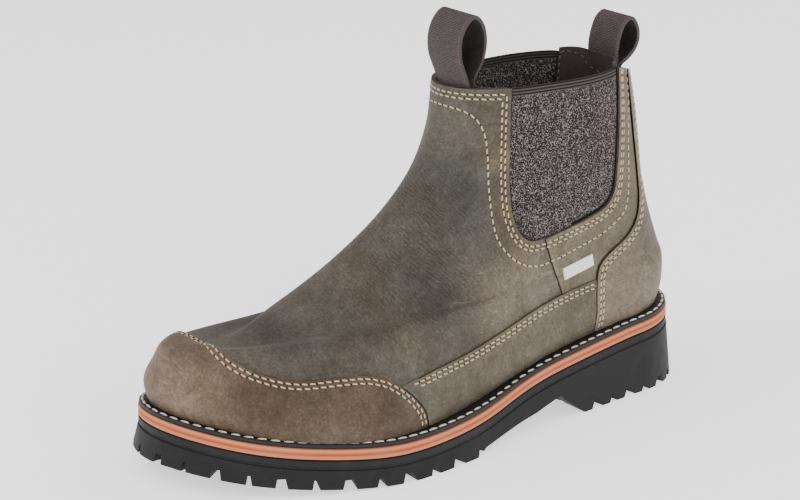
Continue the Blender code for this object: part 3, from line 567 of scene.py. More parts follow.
class Finish:
    """One material and the nodes that make it."""

    def __init__(self, name, roughness=0.7, sheen=0.0, specular=0.5):
        self.material = bpy.data.materials.new(LOOK + name)
        self.material.use_nodes = True
        self.tree = self.material.node_tree
        self.shader = self.tree.nodes["Principled BSDF"]
        self.shader.inputs["Roughness"].default_value = roughness
        self.shader.inputs["Sheen Weight"].default_value = sheen
        self.shader.inputs["Specular IOR Level"].default_value = specular
        coordinates = self.tree.nodes.new("ShaderNodeTexCoord")
        self.place = Value(self, coordinates.outputs["Object"])
        self.flat = Value(self, coordinates.outputs["UV"])

    def node(self, kind, options=None, inputs=None):
        made = self.tree.nodes.new(kind)
        for key, value in (options or {}).items():
            if key == "stops":
                ramp = made.color_ramp
                while len(ramp.elements) < len(value):
                    ramp.elements.new(0.5)
                for element, (position, colour) in zip(ramp.elements, value):
                    element.position = position
                    element.color = (*colour, 1)
            else:
                setattr(made, key, value)
        for key, value in (inputs or {}).items():
            if isinstance(value, Value):
                self.tree.links.new(value.socket, made.inputs[key])
            else:
                made.inputs[key].default_value = value
        return made

    def value(self, kind, options=None, inputs=None, output=0):
        return Value(self, self.node(kind, options, inputs).outputs[output])

    def noise(self, scale, detail=3.0, rough=0.5, distortion=0.0, place=None):
        inputs = {"Vector": place or self.place, "Scale": scale, "Detail": detail}
        inputs.update({"Roughness": rough, "Distortion": distortion})
        return self.value("ShaderNodeTexNoise", None, inputs)

    def cells(self, scale, place):
        return self.value("ShaderNodeTexVoronoi", {"feature": "F1"}, {"Vector": place, "Scale": scale})

    def painted(self, name):
        return self.value("ShaderNodeAttribute", {"attribute_name": name}, None, 2)

    def along_axis(self, place, axis):
        parts = self.node("ShaderNodeSeparateXYZ", None, {0: place})
        return Value(self, parts.outputs[axis])

    def stretched(self, place, scale):
        return self.value("ShaderNodeVectorMath", {"operation": "MULTIPLY"}, {0: place, 1: scale})

    def blend(self, share, first, second, kind="MIX"):
        """A colour between two, each a colour or a Value."""
        options = {"data_type": "RGBA", "blend_type": kind, "clamp_factor": True}
        inputs = {0: share}
        for key, colour in ((6, first), (7, second)):
            inputs[key] = colour if isinstance(colour, Value) else (*colour, 1)
        return self.value("ShaderNodeMix", options, inputs, 2)

    def brightened(self, colour, stops):
        """The colour made brighter or darker by a number of stops."""
        gain = self.value("ShaderNodeMath", {"operation": "POWER"}, {0: 2.0, 1: stops})
        return self.value("ShaderNodeVectorMath", {"operation": "SCALE"}, {0: colour, 3: gain})

    def ramp(self, share, stops):
        return self.value("ShaderNodeValToRGB", {"stops": stops}, {0: share})

    def bump(self, height, distance, strength=1.0, normal=None):
        inputs = {"Height": height, "Distance": distance, "Strength": strength}
        if normal:
            inputs["Normal"] = normal
        return self.value("ShaderNodeBump", None, inputs)

    def wear(self, colour=None, roughness=None, normal=None):
        """Joins what varies over the surface to the shader."""
        for name, value in (("Base Color", colour), ("Roughness", roughness), ("Normal", normal)):
            if value is not None:
                self.tree.links.new(value.socket, self.shader.inputs[name])
        return self.material


def linear(red, green, blue):
    """A colour as the eye names it, 0 to 255, in the linear values that shaders take."""
    def channel(value):
        value = value / 255
        return value / 12.92 if value <= 0.04045 else ((value + 0.055) / 1.055) ** 2.4
    return (channel(red), channel(green), channel(blue))


# Finishes of the boot


def leather_finish(name, base, seed=0.0):
    """Oiled nubuck: cloudy patches, fine grain, rubbed edges, wrinkles where the ankle bends, and painted
    highlight and shade from the light attribute.
    """
    made = Finish(name, roughness=0.62, sheen=0.04, specular=0.25)
    place = made.value(
        "ShaderNodeVectorMath", {"operation": "ADD"}, {0: made.place, 1: (seed, seed * 0.7, seed * 1.3)}
    )
    clouds = made.noise(22.0, 3.0, 0.55, 0.6, place)
    patches = made.noise(80.0, 4.0, 0.6, 0.5, place)
    mottle = made.noise(300.0, 3.0, 0.65, 0.0, place)
    grain = made.noise(850.0, 2.0, 0.7, 0.0, place)
    bend = made.painted("bend")
    # Wrinkles across the bend of the ankle
    slant = made.stretched(place, (0.25, 0.72, 0.72))
    run = made.along_axis(slant, 1) + made.along_axis(slant, 2) + made.along_axis(slant, 0)
    waver = made.noise(70.0, 3.0, 0.6, 0.0, place)
    broken = made.noise(150.0, 2.0, 0.5, 0.0, place).step(0.40, 0.58)
    wrinkles = (run * 3300.0 + waver * 26.0).sine() * bend * broken
    # Short pale scratches
    scratch_place = made.stretched(place, (30.0, 70.0, 260.0))
    scratches = made.noise(1.0, 2.0, 0.5, 0.8, scratch_place).step(0.66, 0.72)
    # The light attribute adds painted highlight and shade, mixed with the leather's own tone
    stops = made.painted("light") + made.painted("edge") * 0.30 + wrinkles * 0.36 + scratches * 0.45
    stops = stops + (clouds - 0.5) * 1.6 + (patches - 0.5) * 1.6
    stops = stops + (mottle - 0.5) * 1.5 + (grain - 0.5) * 2.2
    coolness = made.painted("cool") + (patches - 0.5) * 1.6 + (clouds - 0.5) * 1.6
    tint = made.blend(coolness * 0.5 + 0.5, colours().warm_tint, colours().cool_tint)
    colour = made.blend(1.0, tint, base, "MULTIPLY")
    colour = made.brightened(colour, stops)
    height = mottle * 0.5 + grain * 0.4 + patches * 0.5
    normal = made.bump(height, 0.0004, 0.45)
    normal = made.bump(wrinkles, 0.00045, 0.8, normal)
    roughness = 0.56 + mottle * 0.16
    return made.wear(colour, roughness, normal)


def fine_grain(made, noise, dark, pale, relief=None):
    """A finish that is one fine grain between two colours, with or without relief."""
    grain = made.noise(*noise)
    normal = made.bump(grain, *relief) if relief else None
    return made.wear(made.blend(grain, dark, pale), None, normal)


# Dark cut edges: the burnished edge and a painted shadow line along the laid-on pieces
def cut_edge_finish():
    made = Finish("leather_cut_edge", roughness=0.8)
    return fine_grain(made, (900.0, 2.0), linear(28, 23, 20), linear(70, 59, 49))


def lining_finish():
    made = Finish("dark_lining", roughness=0.95, sheen=0.0, specular=0.15)
    weave = made.noise(1500.0, 2.0, 0.7)
    soft = made.noise(60.0, 2.0)
    colour = made.blend(weave * 0.6 + soft * 0.4, linear(34, 28, 28), linear(66, 57, 55))
    return made.wear(colour, None, made.bump(weave, 0.0003, 0.4))


def gore_finish():
    """Elastic cloth: dark yarn with pale flecks, and fine ribs along its folded top."""
    made = Finish("gore_cloth", roughness=0.92, sheen=0.0, specular=0.15)
    place = made.stretched(made.place, (0.75, 1.0, 0.8))
    dots = made.cells(1800.0, place)
    fleck = made.noise(2100.0, 2.0, 0.75, 0.0, place)
    drift = made.noise(420.0, 2.0, 0.6, 0.0, made.place)
    share = (dots * 0.62 + fleck * 0.72 + drift * 0.25 - 0.28)
    colour = made.ramp(
        share,
        [
            (0.30, linear(10, 8, 8)),
            (0.46, linear(28, 25, 25)),
            (0.58, linear(76, 69, 68)),
            (0.72, linear(140, 130, 128)),
        ],
    )
    fold = made.painted("fold").step(0.35, 0.55)
    line = (made.along_axis(made.place, 2) * 4200.0).sine()
    lined = (line * 0.25 + fleck * 0.5 + 0.22).step(0.2, 0.8)
    folded = made.blend(lined, linear(24, 20, 20), linear(86, 78, 77))
    colour = made.blend(fold, colour, folded)
    # Painted shadow and shade from the edge attribute darken the back edge and the rims
    colour = made.blend(made.painted("edge"), colour, linear(14, 11, 11))
    return made.wear(colour, None, made.bump(share, 0.0006, 0.6))


def collar_lining_finish():
    """Smooth dark lining leather with a soft cloudiness."""
    made = Finish("collar_lining", roughness=0.8, sheen=0.0, specular=0.2)
    soft = made.noise(70.0, 3.0, 0.6)
    fine = made.noise(1100.0, 2.0, 0.6)
    colour = made.blend(soft * 0.6 + fine * 0.4, linear(44, 36, 35), linear(84, 73, 70))
    return made.wear(colour, None, made.bump(fine, 0.0003, 0.35))


def webbing_finish(name, dim):
    """Woven tape: fine ribs across, a smoother selvedge at both sides, dimmed by some stops of painted
    shade.
    """
    made = Finish(name, roughness=0.9, sheen=0.02, specular=0.2)
    across = made.along_axis(made.flat, 0)
    run = made.along_axis(made.flat, 1)
    rib = (run * 8200.0 + made.noise(500.0, 2.0) * 2.0).sine()
    yarn = (across * 300.0).sine()
    fleck = made.noise(1500.0, 2.0, 0.7)
    middle = (across - 0.5) * 2.0
    selvedge = (middle * middle).step(0.72, 0.88)
    share = (rib * 0.16 + yarn * 0.10 + fleck * 0.70 + 0.14).step(0.15, 0.85)
    colour = made.blend(share, linear(26, 22, 22), linear(104, 93, 92))
    colour = made.blend(selvedge * 0.35, colour, linear(98, 89, 88))
    colour = made.brightened(colour, -dim * (0.9 + fleck * 0.2))
    return made.wear(colour, None, made.bump(rib * 0.7 + yarn * 0.3, 0.0003, 0.6))


def thread_finish(name, first, second):
    made = Finish(name, roughness=0.6, sheen=0.1)
    return fine_grain(made, (1800.0, 2.0, 0.6), first, second, (0.0002, 0.5))


def dyed_thread(name, first, second):
    return finish(name, thread_finish, name, linear(*first), linear(*second))


# Near black: painted shade inside the needle holes and, on the seam cord, the painted shadow in the seam
def hole_finish():
    made = Finish("needle_hole", roughness=0.95)
    return fine_grain(made, (900.0, 1.0), linear(16, 13, 11), linear(38, 32, 27))


def midsole_finish():
    """Tan layered edge: a redder middle between paler top and bottom, with streaks along it."""
    made = Finish("tan_midsole", roughness=0.7, specular=0.2)
    band = made.painted("band")
    streak = made.noise(300.0, 4.0, 0.7, 0.0, made.stretched(made.place, (0.25, 0.25, 2.2)))
    broad = made.noise(50.0, 3.0, 0.6)
    share = band + (streak - 0.5) * 0.10
    colour = made.ramp(
        share,
        [
            (0.00, linear(104, 58, 40)),
            (0.12, linear(200, 126, 90)),
            (0.32, linear(196, 112, 74)),
            (0.48, linear(158, 66, 38)),
            (0.60, linear(186, 98, 60)),
            (0.84, linear(208, 136, 98)),
            (1.00, linear(150, 96, 72)),
        ],
    )
    colour = made.blend(streak.step(0.50, 0.78) * 0.20, colour, linear(140, 72, 50))
    colour = made.blend(broad.step(0.4, 0.7) * 0.15, colour, linear(196, 134, 104))
    return made.wear(colour, None, made.bump(streak, 0.0003, 0.3))


def welt_finish():
    made = Finish("welt_strip", roughness=0.6, specular=0.4)
    return fine_grain(made, (700.0, 3.0, 0.6), linear(8, 7, 7), linear(28, 25, 24), (0.0003, 0.4))


def rubber_finish():
    """Moulded rubber with faint dust and scuffs, and a pale line of dust and painted highlight along its
    groove.
    """
    made = Finish("black_rubber", roughness=0.62, specular=0.25)
    dust = made.noise(220.0, 4.0, 0.7)
    scuff = made.noise(28.0, 3.0, 0.6, 1.2)
    fine = made.noise(1400.0, 2.0, 0.6)
    colour = made.blend(dust * 0.6 + fine * 0.4, linear(15, 14, 14), linear(34, 32, 32))
    colour = made.blend(scuff.step(0.5, 0.8) * 0.35, colour, linear(48, 46, 46))
    # A pale line of dust and painted highlight along the groove
    colour = made.blend(made.painted("groove").step(0.3, 1.0) * 0.40, colour, linear(120, 120, 122))
    return made.wear(colour, 0.52 + dust * 0.2, made.bump(fine * 0.5 + dust * 0.5, 0.0003, 0.35))


def insole_finish():
    made = Finish("insole_lining", roughness=0.95, sheen=0.0, specular=0.1)
    return fine_grain(made, (1300.0, 2.0, 0.7), linear(36, 31, 31), linear(74, 66, 64), (0.0003, 0.4))


def label_finish():
    made = Finish("tag_cloth", roughness=0.7)
    pale, white = linear(226, 226, 226), linear(246, 246, 246)
    return fine_grain(made, (2200.0, 2.0, 0.6), pale, white, (0.0002, 0.4))


def floor_finish():
    made = Finish("studio_floor", roughness=0.9, specular=0.1)
    made.shader.inputs["Base Color"].default_value = (*colours().floor, 1)
    made.shader.inputs["Emission Color"].default_value = (1, 1, 1, 1)
    made.shader.inputs["Emission Strength"].default_value = settings().floor_glow
    return made.material


def finish(name, maker, *values):
    """The material of that name, made the first time that it is asked for."""
    return bpy.data.materials.get(LOOK + name) or maker(*values)


# Mesh helpers


def new_piece(name, points, faces, finishes, face_finish=None, paint=None, uv=None, sharp=45):
    """A mesh object in the world's frame whose points are across, along and up."""
    mesh = bpy.data.meshes.new(name)
    mesh.from_pydata([tuple(p) for p in world(points)], [], [tuple(f) for f in faces])
    for made in finishes:
        mesh.materials.append(made)
    if face_finish is not None:
        mesh.polygons.foreach_set("material_index", np.asarray(face_finish, np.int32))
    store_paint(mesh, paint or {})
    if uv is not None:
        layer = mesh.uv_layers.new(name="flat")
        corners = np.zeros(len(mesh.loops), np.int32)
        mesh.loops.foreach_get("vertex_index", corners)
        layer.data.foreach_set("uv", np.asarray(uv, np.float32)[corners].ravel())
    mesh.update()
    face_out(mesh)
    smoothed(mesh, sharp)
    made = bpy.data.objects.new(name, mesh)
    bpy.context.scene.collection.objects.link(made)
    return made


def store_paint(mesh, paint):
    """Stores numbers at a mesh's points under the names that shaders read."""
    for key, values in paint.items():
        layer = mesh.attributes.new(key, "FLOAT", "POINT")
        layer.data.foreach_set("value", np.asarray(values, np.float32))


def smoothed(mesh, sharp):
    """Gives a mesh smooth faces that meet sharply past an angle."""
    mesh.shade_smooth()
    mesh.set_sharp_from_angle(angle=math.radians(sharp))


def face_out(mesh):
    work = bmesh.new()
    work.from_mesh(mesh)
    bmesh.ops.recalc_face_normals(work, faces=work.faces)
    work.to_mesh(mesh)
    work.free()


def quads_between(rows, count, closed_around=True, closed_up=False):
    """Faces between rows of points."""
    faces = []
    steps = count if closed_around else count - 1
    for r in range(rows if closed_up else rows - 1):
        low = r * count
        high = ((r + 1) % rows) * count
        for k in range(steps):
            after = (k + 1) % count
            faces.append((low + k, low + after, high + after, high + k))
    return faces


def ladder(start, count):
    """Faces that fill a ring by joining its points of the same share across it."""
    faces = [(start, start + 1, start + count - 1)]
    for k in range(1, count // 2 - 1):
        faces.append((start + k, start + k + 1, start + count - k - 1, start + count - k))
    half = start + count // 2
    faces.append((half - 1, half, half + 1))
    return faces


def baked(made):
    """Applies an object's modifiers."""
    bpy.context.view_layer.update()
    graph = bpy.context.evaluated_depsgraph_get()
    evaluated = made.evaluated_get(graph)
    mesh = bpy.data.meshes.new_from_object(evaluated, preserve_all_data_layers=True, depsgraph=graph)
    made.modifiers.clear()
    old = made.data
    made.data = mesh
    bpy.data.meshes.remove(old)
    return made


def cut(made, tools):
    """Cuts an object by cutters, each with the operation that it does, and removes them."""
    for tool, operation in tools:
        step = made.modifiers.new(tool.name, "BOOLEAN")
        step.operation = operation
        step.solver = "MANIFOLD"
        step.object = tool
    baked(made)
    for tool, _ in tools:
        bpy.data.objects.remove(tool, do_unlink=True)
    return made


def faced(made, material, sharp):
    """Gives a cut piece one finish and smooth faces."""
    made.data.materials.clear()
    made.data.materials.append(material)
    smoothed(made.data, sharp)


def side_prism(outline, low, high):
    """A cutter with a side-view outline, from low to high across."""
    count = len(outline)
    points = [(low, a, u) for a, u in outline] + [(high, a, u) for a, u in outline]
    faces = [tuple(range(count)), tuple(range(2 * count - 1, count - 1, -1))]
    faces += [(k, (k + 1) % count, count + (k + 1) % count, count + k) for k in range(count)]
    return new_piece("cutter", points, faces, [])


# The leather's surface


class Last:
    """The leather's outer face as a fine grid of points."""

    def __init__(self):
        rings = np.stack([ring_points(row, FINE_AROUND) for row in RINGS])
        collar = rings[-1]
        share = (collar[:, 1] - collar[:, 1].min()) / np.ptp(collar[:, 1])
        collar[:, 2] -= COLLAR_BACK_DIP * np.clip(1 - share / COLLAR_DIP_REACH, 0, 1) ** 2
        steps = np.linalg.norm(np.diff(rings, axis=0), axis=2).mean(1)
        walked = np.concatenate([[0], np.cumsum(steps)])
        self.rows = smooth(walked, rings, np.linspace(0, walked[-1], FINE_ROWS))
        up = np.gradient(self.rows, axis=0)
        around = np.roll(self.rows, -1, 1) - np.roll(self.rows, 1, 1)
        normal = np.cross(around, up)
        normal /= np.linalg.norm(normal, axis=2)[:, :, None]
        if ((self.rows - self.rows.mean((0, 1))) * normal).sum() < 0:
            normal = -normal
        self.normals = normal
        flat = self.rows.reshape(-1, 3)
        self.tree = KDTree(len(flat))
        for i, point in enumerate(flat):
            self.tree.insert(point, i)
        self.tree.balance()
        lengths = np.linalg.norm(np.diff(self.rows, axis=0), axis=2)
        below = np.concatenate([np.cumsum(lengths[::-1], axis=0)[::-1], np.zeros((1, FINE_AROUND))])
        self.top_gap_rows = below

    def top_gap(self, points):
        """How far points lie below the collar's top, along the leather."""
        found = [self.tree.find(point)[1] for point in points]
        near = self.rows.reshape(-1, 3)[found]
        return np.abs(self.top_gap_rows.reshape(-1)[found] + near[:, 2] - points[:, 2])

    def moved(self, offset):
        """The grid moved out along its normals, its end rows level."""
        normal = self.normals.copy()
        for end in (0, -1):
            normal[end, :, 2] = 0
            normal[end] /= (normal[end] ** 2).sum(1)[:, None]
        amount = np.broadcast_to(offset, self.rows.shape[:2])
        rows = self.rows + amount[:, :, None] * normal
        rows[0, :, 2] = midsole_top(rows[0, :, 1] / SOLE_LENGTH) + WELT_THICKNESS + SEAT_GAP
        return rows

    def depths_near(self, points):
        """How far points lie outside the grid, and the normals there."""
        flat = self.rows.reshape(-1, 3)
        found = [self.tree.find(point)[1] for point in points]
        normals = self.normals.reshape(-1, 3)[found]
        return ((points - flat[found]) * normals).sum(1), normals


def outline_distance(outline, points, normals):
    """How far points of the leather lie inside a side-view outline, measured along the leather."""
    flat = points[..., 1:].reshape(-1, 2)
    nearest = np.full(len(flat), np.inf)
    away = np.zeros_like(flat)
    inside = np.zeros(len(flat), bool)
    corners = np.asarray(outline)
    for start, end in zip(corners, np.roll(corners, -1, 0)):
        run = end - start
        share = np.clip(((flat - start) @ run) / max(run @ run, 1e-12), 0, 1)
        gap = flat - start - share[:, None] * run
        size = np.linalg.norm(gap, axis=1)
        closer = size < nearest
        nearest[closer] = size[closer]
        away[closer] = gap[closer]
        if start[1] != end[1]:
            crosses = (start[1] > flat[:, 1]) != (end[1] > flat[:, 1])
            meets = start[0] + (flat[:, 1] - start[1]) / run[1] * run[0]
            inside ^= crosses & (flat[:, 0] < meets)
    away /= np.maximum(nearest, 1e-9)[:, None]
    lean = (normals.reshape(-1, 3)[:, 1:] * away).sum(1)
    spread = np.sqrt(np.clip(1 - lean**2, 0.12, 1))
    return (np.where(inside, nearest, -nearest) / spread).reshape(points.shape[:-1])


def contours(last, field, level, lift, keep=None):
    """Lines on the leather where a field has a level: points lifted off it, and its normals."""
    rows = last.moved(lift)
    count = rows.shape[1]
    values = field - level
    flat = values.ravel()
    size = len(flat)
    places = rows.reshape(-1, 3)
    normals = last.normals.reshape(-1, 3)
    kept = np.ones(size) if keep is None else keep.ravel()

    def ends(edge):
        if edge < size:
            r, k = divmod(edge, count)
            return edge, r * count + (k + 1) % count
        return edge - size, edge - size + count

    links = {}
    sign = values > 0
    right = np.roll(sign, -1, 1)
    mixed = (sign[:-1] != right[:-1]) | (sign[1:] != right[1:]) | (sign[:-1] != sign[1:])
    for r, k in zip(*np.nonzero(mixed)):
        after = (k + 1) % count
        edges = (r * count + k, size + r * count + after, (r + 1) * count + k, size + r * count + k)
        crossed = [e for e in edges if (flat[ends(e)[0]] > 0) != (flat[ends(e)[1]] > 0)]
        for first, second in zip(crossed[::2], crossed[1::2]):
            links.setdefault(first, []).append(second)
            links.setdefault(second, []).append(first)
    lines = []
    starts = [e for e, near in links.items() if len(near) == 1] + list(links)
    seen = set()
    for start in starts:
        if start in seen:
            continue
        chain = [start]
        seen.add(start)
        while True:
            onward = [e for e in links[chain[-1]] if e not in seen]
            if not onward:
                break
            chain.append(onward[0])
            seen.add(onward[0])
        if len(links[start]) == 2 and chain[0] in links[chain[-1]] and len(chain) > 2:
            chain.append(chain[0])
        line = []
        for edge in chain:
            a, b = ends(edge)
            share = flat[a] / (flat[a] - flat[b])
            point = places[a] + share * (places[b] - places[a])
            normal = normals[a] + share * (normals[b] - normals[a])
            line.append((*point, *normal, kept[a] + share * (kept[b] - kept[a])))
        line = np.array(line)
        holds = line[:, 6] > 0
        for part in np.split(np.arange(len(line)), np.flatnonzero(np.diff(holds)) + 1):
            if holds[part[0]] and len(part) > 3:
                lines.append(line[part, :6])
    return lines


def evened(line, step):
    """A line's points at equal steps, smoothed a little."""
    walked = distances_along(line[:, :3])
    count = max(int(walked[-1] / step), 2)
    places = np.linspace(0, walked[-1], count + 1)
    even = np.stack([np.interp(places, walked, line[:, c]) for c in range(line.shape[1])], 1)
    for _ in range(4):
        even[1:-1] = (even[:-2] + 2 * even[1:-1] + even[2:]) / 4
    return even


# Stitches


class Stitching:
    """Gathers stitches and the needle holes between them into one mesh."""

    SIDES = 6
    RINGS = ((-1.0, 0.25), (-0.86, 0.8), (-0.45, 1.0), (0.0, 1.05), (0.45, 1.0), (0.86, 0.8), (1.0, 0.25))
    HOLE_RINGS = ((-0.5, 1.0), (0.06, 1.0), (0.10, 0.55))

    def __init__(self):
        self.points = []
        self.faces = []
        self.kinds = []

    def along_line(self, line, pitch, length, radius, tilt=STITCH_TILT, holes=True):
        even = evened(line, pitch / 6)
        count = int((len(even) - 1) / 6)
        for n in range(count):
            middle = even[n * 6 + 3]
            ahead = even[min(n * 6 + 5, len(even) - 1), :3]
            behind = even[max(n * 6 + 1, 0), :3]
            normal = middle[3:] / np.linalg.norm(middle[3:])
            run = ahead - behind
            run -= normal * (run @ normal)
            run /= np.linalg.norm(run)
            side = np.cross(normal, run)
            lean = run * math.cos(tilt) + side * math.sin(tilt)
            self.add_stitch(middle[:3], lean, normal, length, radius)
            if holes:
                gap = even[n * 6]
                self.add_hole(gap[:3], run, normal, radius * HOLE_GIRTH)

    def add_stitch(self, middle, run, normal, length, radius):
        side = np.cross(normal, run)
        first = len(self.points)
        for reach, girth in self.RINGS:
            rise = radius * (0.55 * (1 - reach * reach) - 0.35)
            centre = middle + run * reach * length / 2 + normal * rise
            for s in range(self.SIDES):
                angle = 2 * math.pi * s / self.SIDES
                spoke = side * math.cos(angle) * 1.1 + normal * math.sin(angle) * 0.8
                self.points.append(centre + spoke * radius * girth)
        self.add_tube(first, len(self.RINGS), 0)

    # A dark plug that paints the shade inside a needle hole
    def add_hole(self, middle, run, normal, radius):
        side = np.cross(normal, run)
        first = len(self.points)
        for rise, girth in self.HOLE_RINGS:
            for s in range(self.SIDES):
                angle = 2 * math.pi * s / self.SIDES
                spoke = side * math.cos(angle) + run * math.sin(angle)
                self.points.append(middle + spoke * radius * girth + normal * radius * rise)
        self.add_tube(first, len(self.HOLE_RINGS), 1)

    def add_tube(self, first, rings, kind):
        """Closed faces around rings of points, for the thread (kind 0) or for a hole (kind 1)."""
        faces = quads_between(rings, self.SIDES)
        faces += [range(start, start + self.SIDES) for start in (0, (rings - 1) * self.SIDES)]
        self.faces += [tuple(first + i for i in face) for face in faces]
        self.kinds += [kind] * len(faces)

    def piece(self, name, thread):
        finishes = [thread, finish("needle_hole", hole_finish)]
        made = new_piece(name, np.array(self.points), self.faces, finishes, self.kinds, sharp=60)
        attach(made, BODY)
        return made


def dark_cord(name, lines, radius):
    """A thin dark cord along lines on the leather, for the shadow in a seam."""
    sides = 6
    points = []
    faces = []
    for line in lines:
        even = evened(line, SEAM_CORD_STEP)
        run = np.gradient(even[:, :3], axis=0)
        run /= np.linalg.norm(run, axis=1)[:, None]
        normal = even[:, 3:] / np.linalg.norm(even[:, 3:], axis=1)[:, None]
        side = np.cross(normal, run)
        first = len(points)
        for middle, out, across in zip(even[:, :3], normal, side):
            for s in range(sides):
                angle = 2 * math.pi * s / sides
                points.append(middle + radius * (math.cos(angle) * across + 0.6 * math.sin(angle) * out))
        faces += [tuple(first + i for i in face) for face in quads_between(len(even), sides)]
        for start in (first, first + (len(even) - 1) * sides):
            faces.append(tuple(range(start, start + sides)))
    made = new_piece(name, np.array(points), faces, [finish("needle_hole", hole_finish)])
    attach(made, BODY)


def seam_stitches(name, lines):
    sizes = settings()
    made = Stitching()
    for line in lines:
        made.along_line(line, sizes.stitch_pitch, sizes.stitch_length, sizes.thread_radius)
    return made.piece(name, dyed_thread("pale_thread", (176, 150, 112), (218, 194, 154)))


# Outlines of the pieces in side view


def closing(path, corners):
    """A side-view outline of the path and of corners past the leather that close it."""
    return [tuple(p) for p in path] + [
        (corner["along"] * SOLE_LENGTH, corner["up"] * COLLAR_HEIGHT) for corner in corners
    ]


def toe_outline(distance):
    return closing(moved_edge(edge_path(TOE_CAP_EDGE), distance), TOE_CAP_CLOSE)


def counter_outline(distance):
    return closing(moved_edge(edge_path(COUNTER_EDGE), -distance), COUNTER_CLOSE)


def side_panel_outline():
    return closing(edge_path(SIDE_PANEL_EDGE), SIDE_PANEL_CLOSE)


def gore_outline(inset):
    return [tuple(p) for p in moved_edge(edge_path(GORE_EDGE), -inset)]


def quarter_outline():
    return closing(edge_path(QUARTER_EDGE), QUARTER_CLOSE)


def single_row_outline():
    return closing(edge_path(SINGLE_ROW_EDGE), SINGLE_ROW_CLOSE)


def side_reach(side):
    """How far a one-sided cutter reaches across, on the outer or the inner side."""
    return (SIDE_START, BALL_WIDTH) if side == "lateral" else (-BALL_WIDTH, -SIDE_START)


# Leather pieces


def leather_paint(points, worn):
    """What the leather's shader reads at each point: tone with painted highlight and shade, edge wear and
    the ankle's wrinkles.
    """
    shares = np.stack([points[:, 1] / SOLE_LENGTH, points[:, 2] / COLLAR_HEIGHT], 1)
    scale = COLLAR_HEIGHT / SOLE_LENGTH
    side = points[:, 0] / (BALL_WIDTH / 2)
    light = np.zeros(len(points))
    cool = np.zeros(len(points))
    # The spots paint highlight and shade into the light value, along with the leather's own tone
    for spot in LIGHT_AND_TONE_SPOTS:
        gap = (shares[:, 0] - spot["along"]) ** 2 + ((shares[:, 1] - spot["up"]) * scale) ** 2
        here = np.exp(-gap / spot["reach"] ** 2) * np.exp(-((side - spot["side"]) * 0.9) ** 2)
        light += spot["light"] * here
        cool += spot["cool"] * here
    bend = np.zeros(len(points))
    for spot in BEND_SPOTS:
        gap = (shares[:, 0] - spot["along"]) ** 2 + ((shares[:, 1] - spot["up"]) * scale) ** 2
        bend = np.maximum(bend, spot["depth"] * np.exp(-gap / spot["reach"] ** 2))
    return {"light": light, "cool": cool, "bend": bend, "edge": worn}


def shell(last, name, outer, thickness, raised=0.0, pushed=0.0):
    """A closed wall on the last between two offsets, with its top raised and pushed in."""
    rows = last.moved(outer)
    inner = last.moved(outer - thickness)
    for grid in (rows, inner):
        grid[-1, :, 2] += raised
        grid[-1, :, :2] -= np.multiply(pushed, last.normals[-1, :, :2].T).T
    high, around = rows.shape[:2]
    points = np.concatenate([rows.reshape(-1, 3), inner.reshape(-1, 3)])
    size = high * around
    faces = quads_between(high, around)
    faces += [tuple(size + i for i in reversed(face)) for face in quads_between(high, around)]
    for start in (0, (high - 1) * around):
        for k in range(around):
            after = (k + 1) % around
            faces.append((start + k, start + after, size + start + after, size + start + k))
    return new_piece(name, points, faces, [])


def boot_points(made):
    """An object's points as across, along and up."""
    flat = np.zeros(len(made.data.vertices) * 3)
    made.data.vertices.foreach_get("co", flat)
    points = flat.reshape(-1, 3)
    return np.stack([points[:, 0] + MID_ACROSS, MID_ALONG - points[:, 1], points[:, 2]], 1)


def dressed(made, last, finishes, outlines, outer, soften):
    """Gives a cut wall its finishes, softens its cut edges and paints what its shader reads."""
    points = boot_points(made)
    depth, normals = last.depths_near(points)
    worn = np.zeros(len(points))
    lowered = np.zeros(len(points))
    for outline in outlines:
        gap = np.abs(outline_distance(outline, points, normals))
        worn = np.maximum(worn, np.exp(-(gap / EDGE_WEAR) ** 2))
        lowered = np.maximum(lowered, np.clip(1 - gap / EDGE_ROUND, 0, 1) ** 2)
    top = last.top_gap(points)
    worn = np.maximum(worn, np.exp(-(top / EDGE_WEAR) ** 2))
    outside = depth > outer - SAME_FACE
    points = points - (lowered * outside * soften)[:, None] * normals
    made.data.vertices.foreach_set("co", world(points).ravel())
    faces = made.data.polygons
    facing = np.zeros(len(faces) * 3)
    made.data.update()
    faces.foreach_get("normal", facing)
    facing = facing.reshape(-1, 3) * (1, -1, 1)
    starts = np.zeros(len(faces), np.int32)
    faces.foreach_get("loop_start", starts)
    corners = np.zeros(len(made.data.loops), np.int32)
    made.data.loops.foreach_get("vertex_index", corners)
    lean = (facing * normals[corners[starts]]).sum(1)
    kind = np.where(lean > FACING, 0, np.where(lean < -FACING, 1, 2))
    made.data.materials.clear()
    for one in finishes:
        made.data.materials.append(one)
    made.data.polygons.foreach_set("material_index", kind.astype(np.int32))
    store_paint(made.data, leather_paint(points, worn))
    smoothed(made.data, 38)
    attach(made, BODY)
    return made


def leathers(name, base, seed):
    outer = finish(name, leather_finish, name, base, seed)
    return [outer, finish("dark_lining", lining_finish), finish("leather_cut_edge", cut_edge_finish)]


def make_upper(last):
    made = shell(last, "fine_upper", 0.0, UPPER_WALL)
    tools = []
    for side in ("lateral", "medial"):
        low, high = side_reach(side)
        tools.append((side_prism(gore_outline(0), low, high), "DIFFERENCE"))
    cut(made, tools)
    finishes = leathers("vamp_leather", colours().vamp, 0.0)
    dressed(made, last, finishes, [gore_outline(0)], 0.0, EDGE_DROP)
    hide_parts("upper")


def laid_on(last, name, outline, tools, outer, thickness):
    made = shell(last, name, outer, thickness)
    low, high = (-BALL_WIDTH, BALL_WIDTH)
    return cut(made, [(side_prism(outline, low, high), "INTERSECT")] + tools)


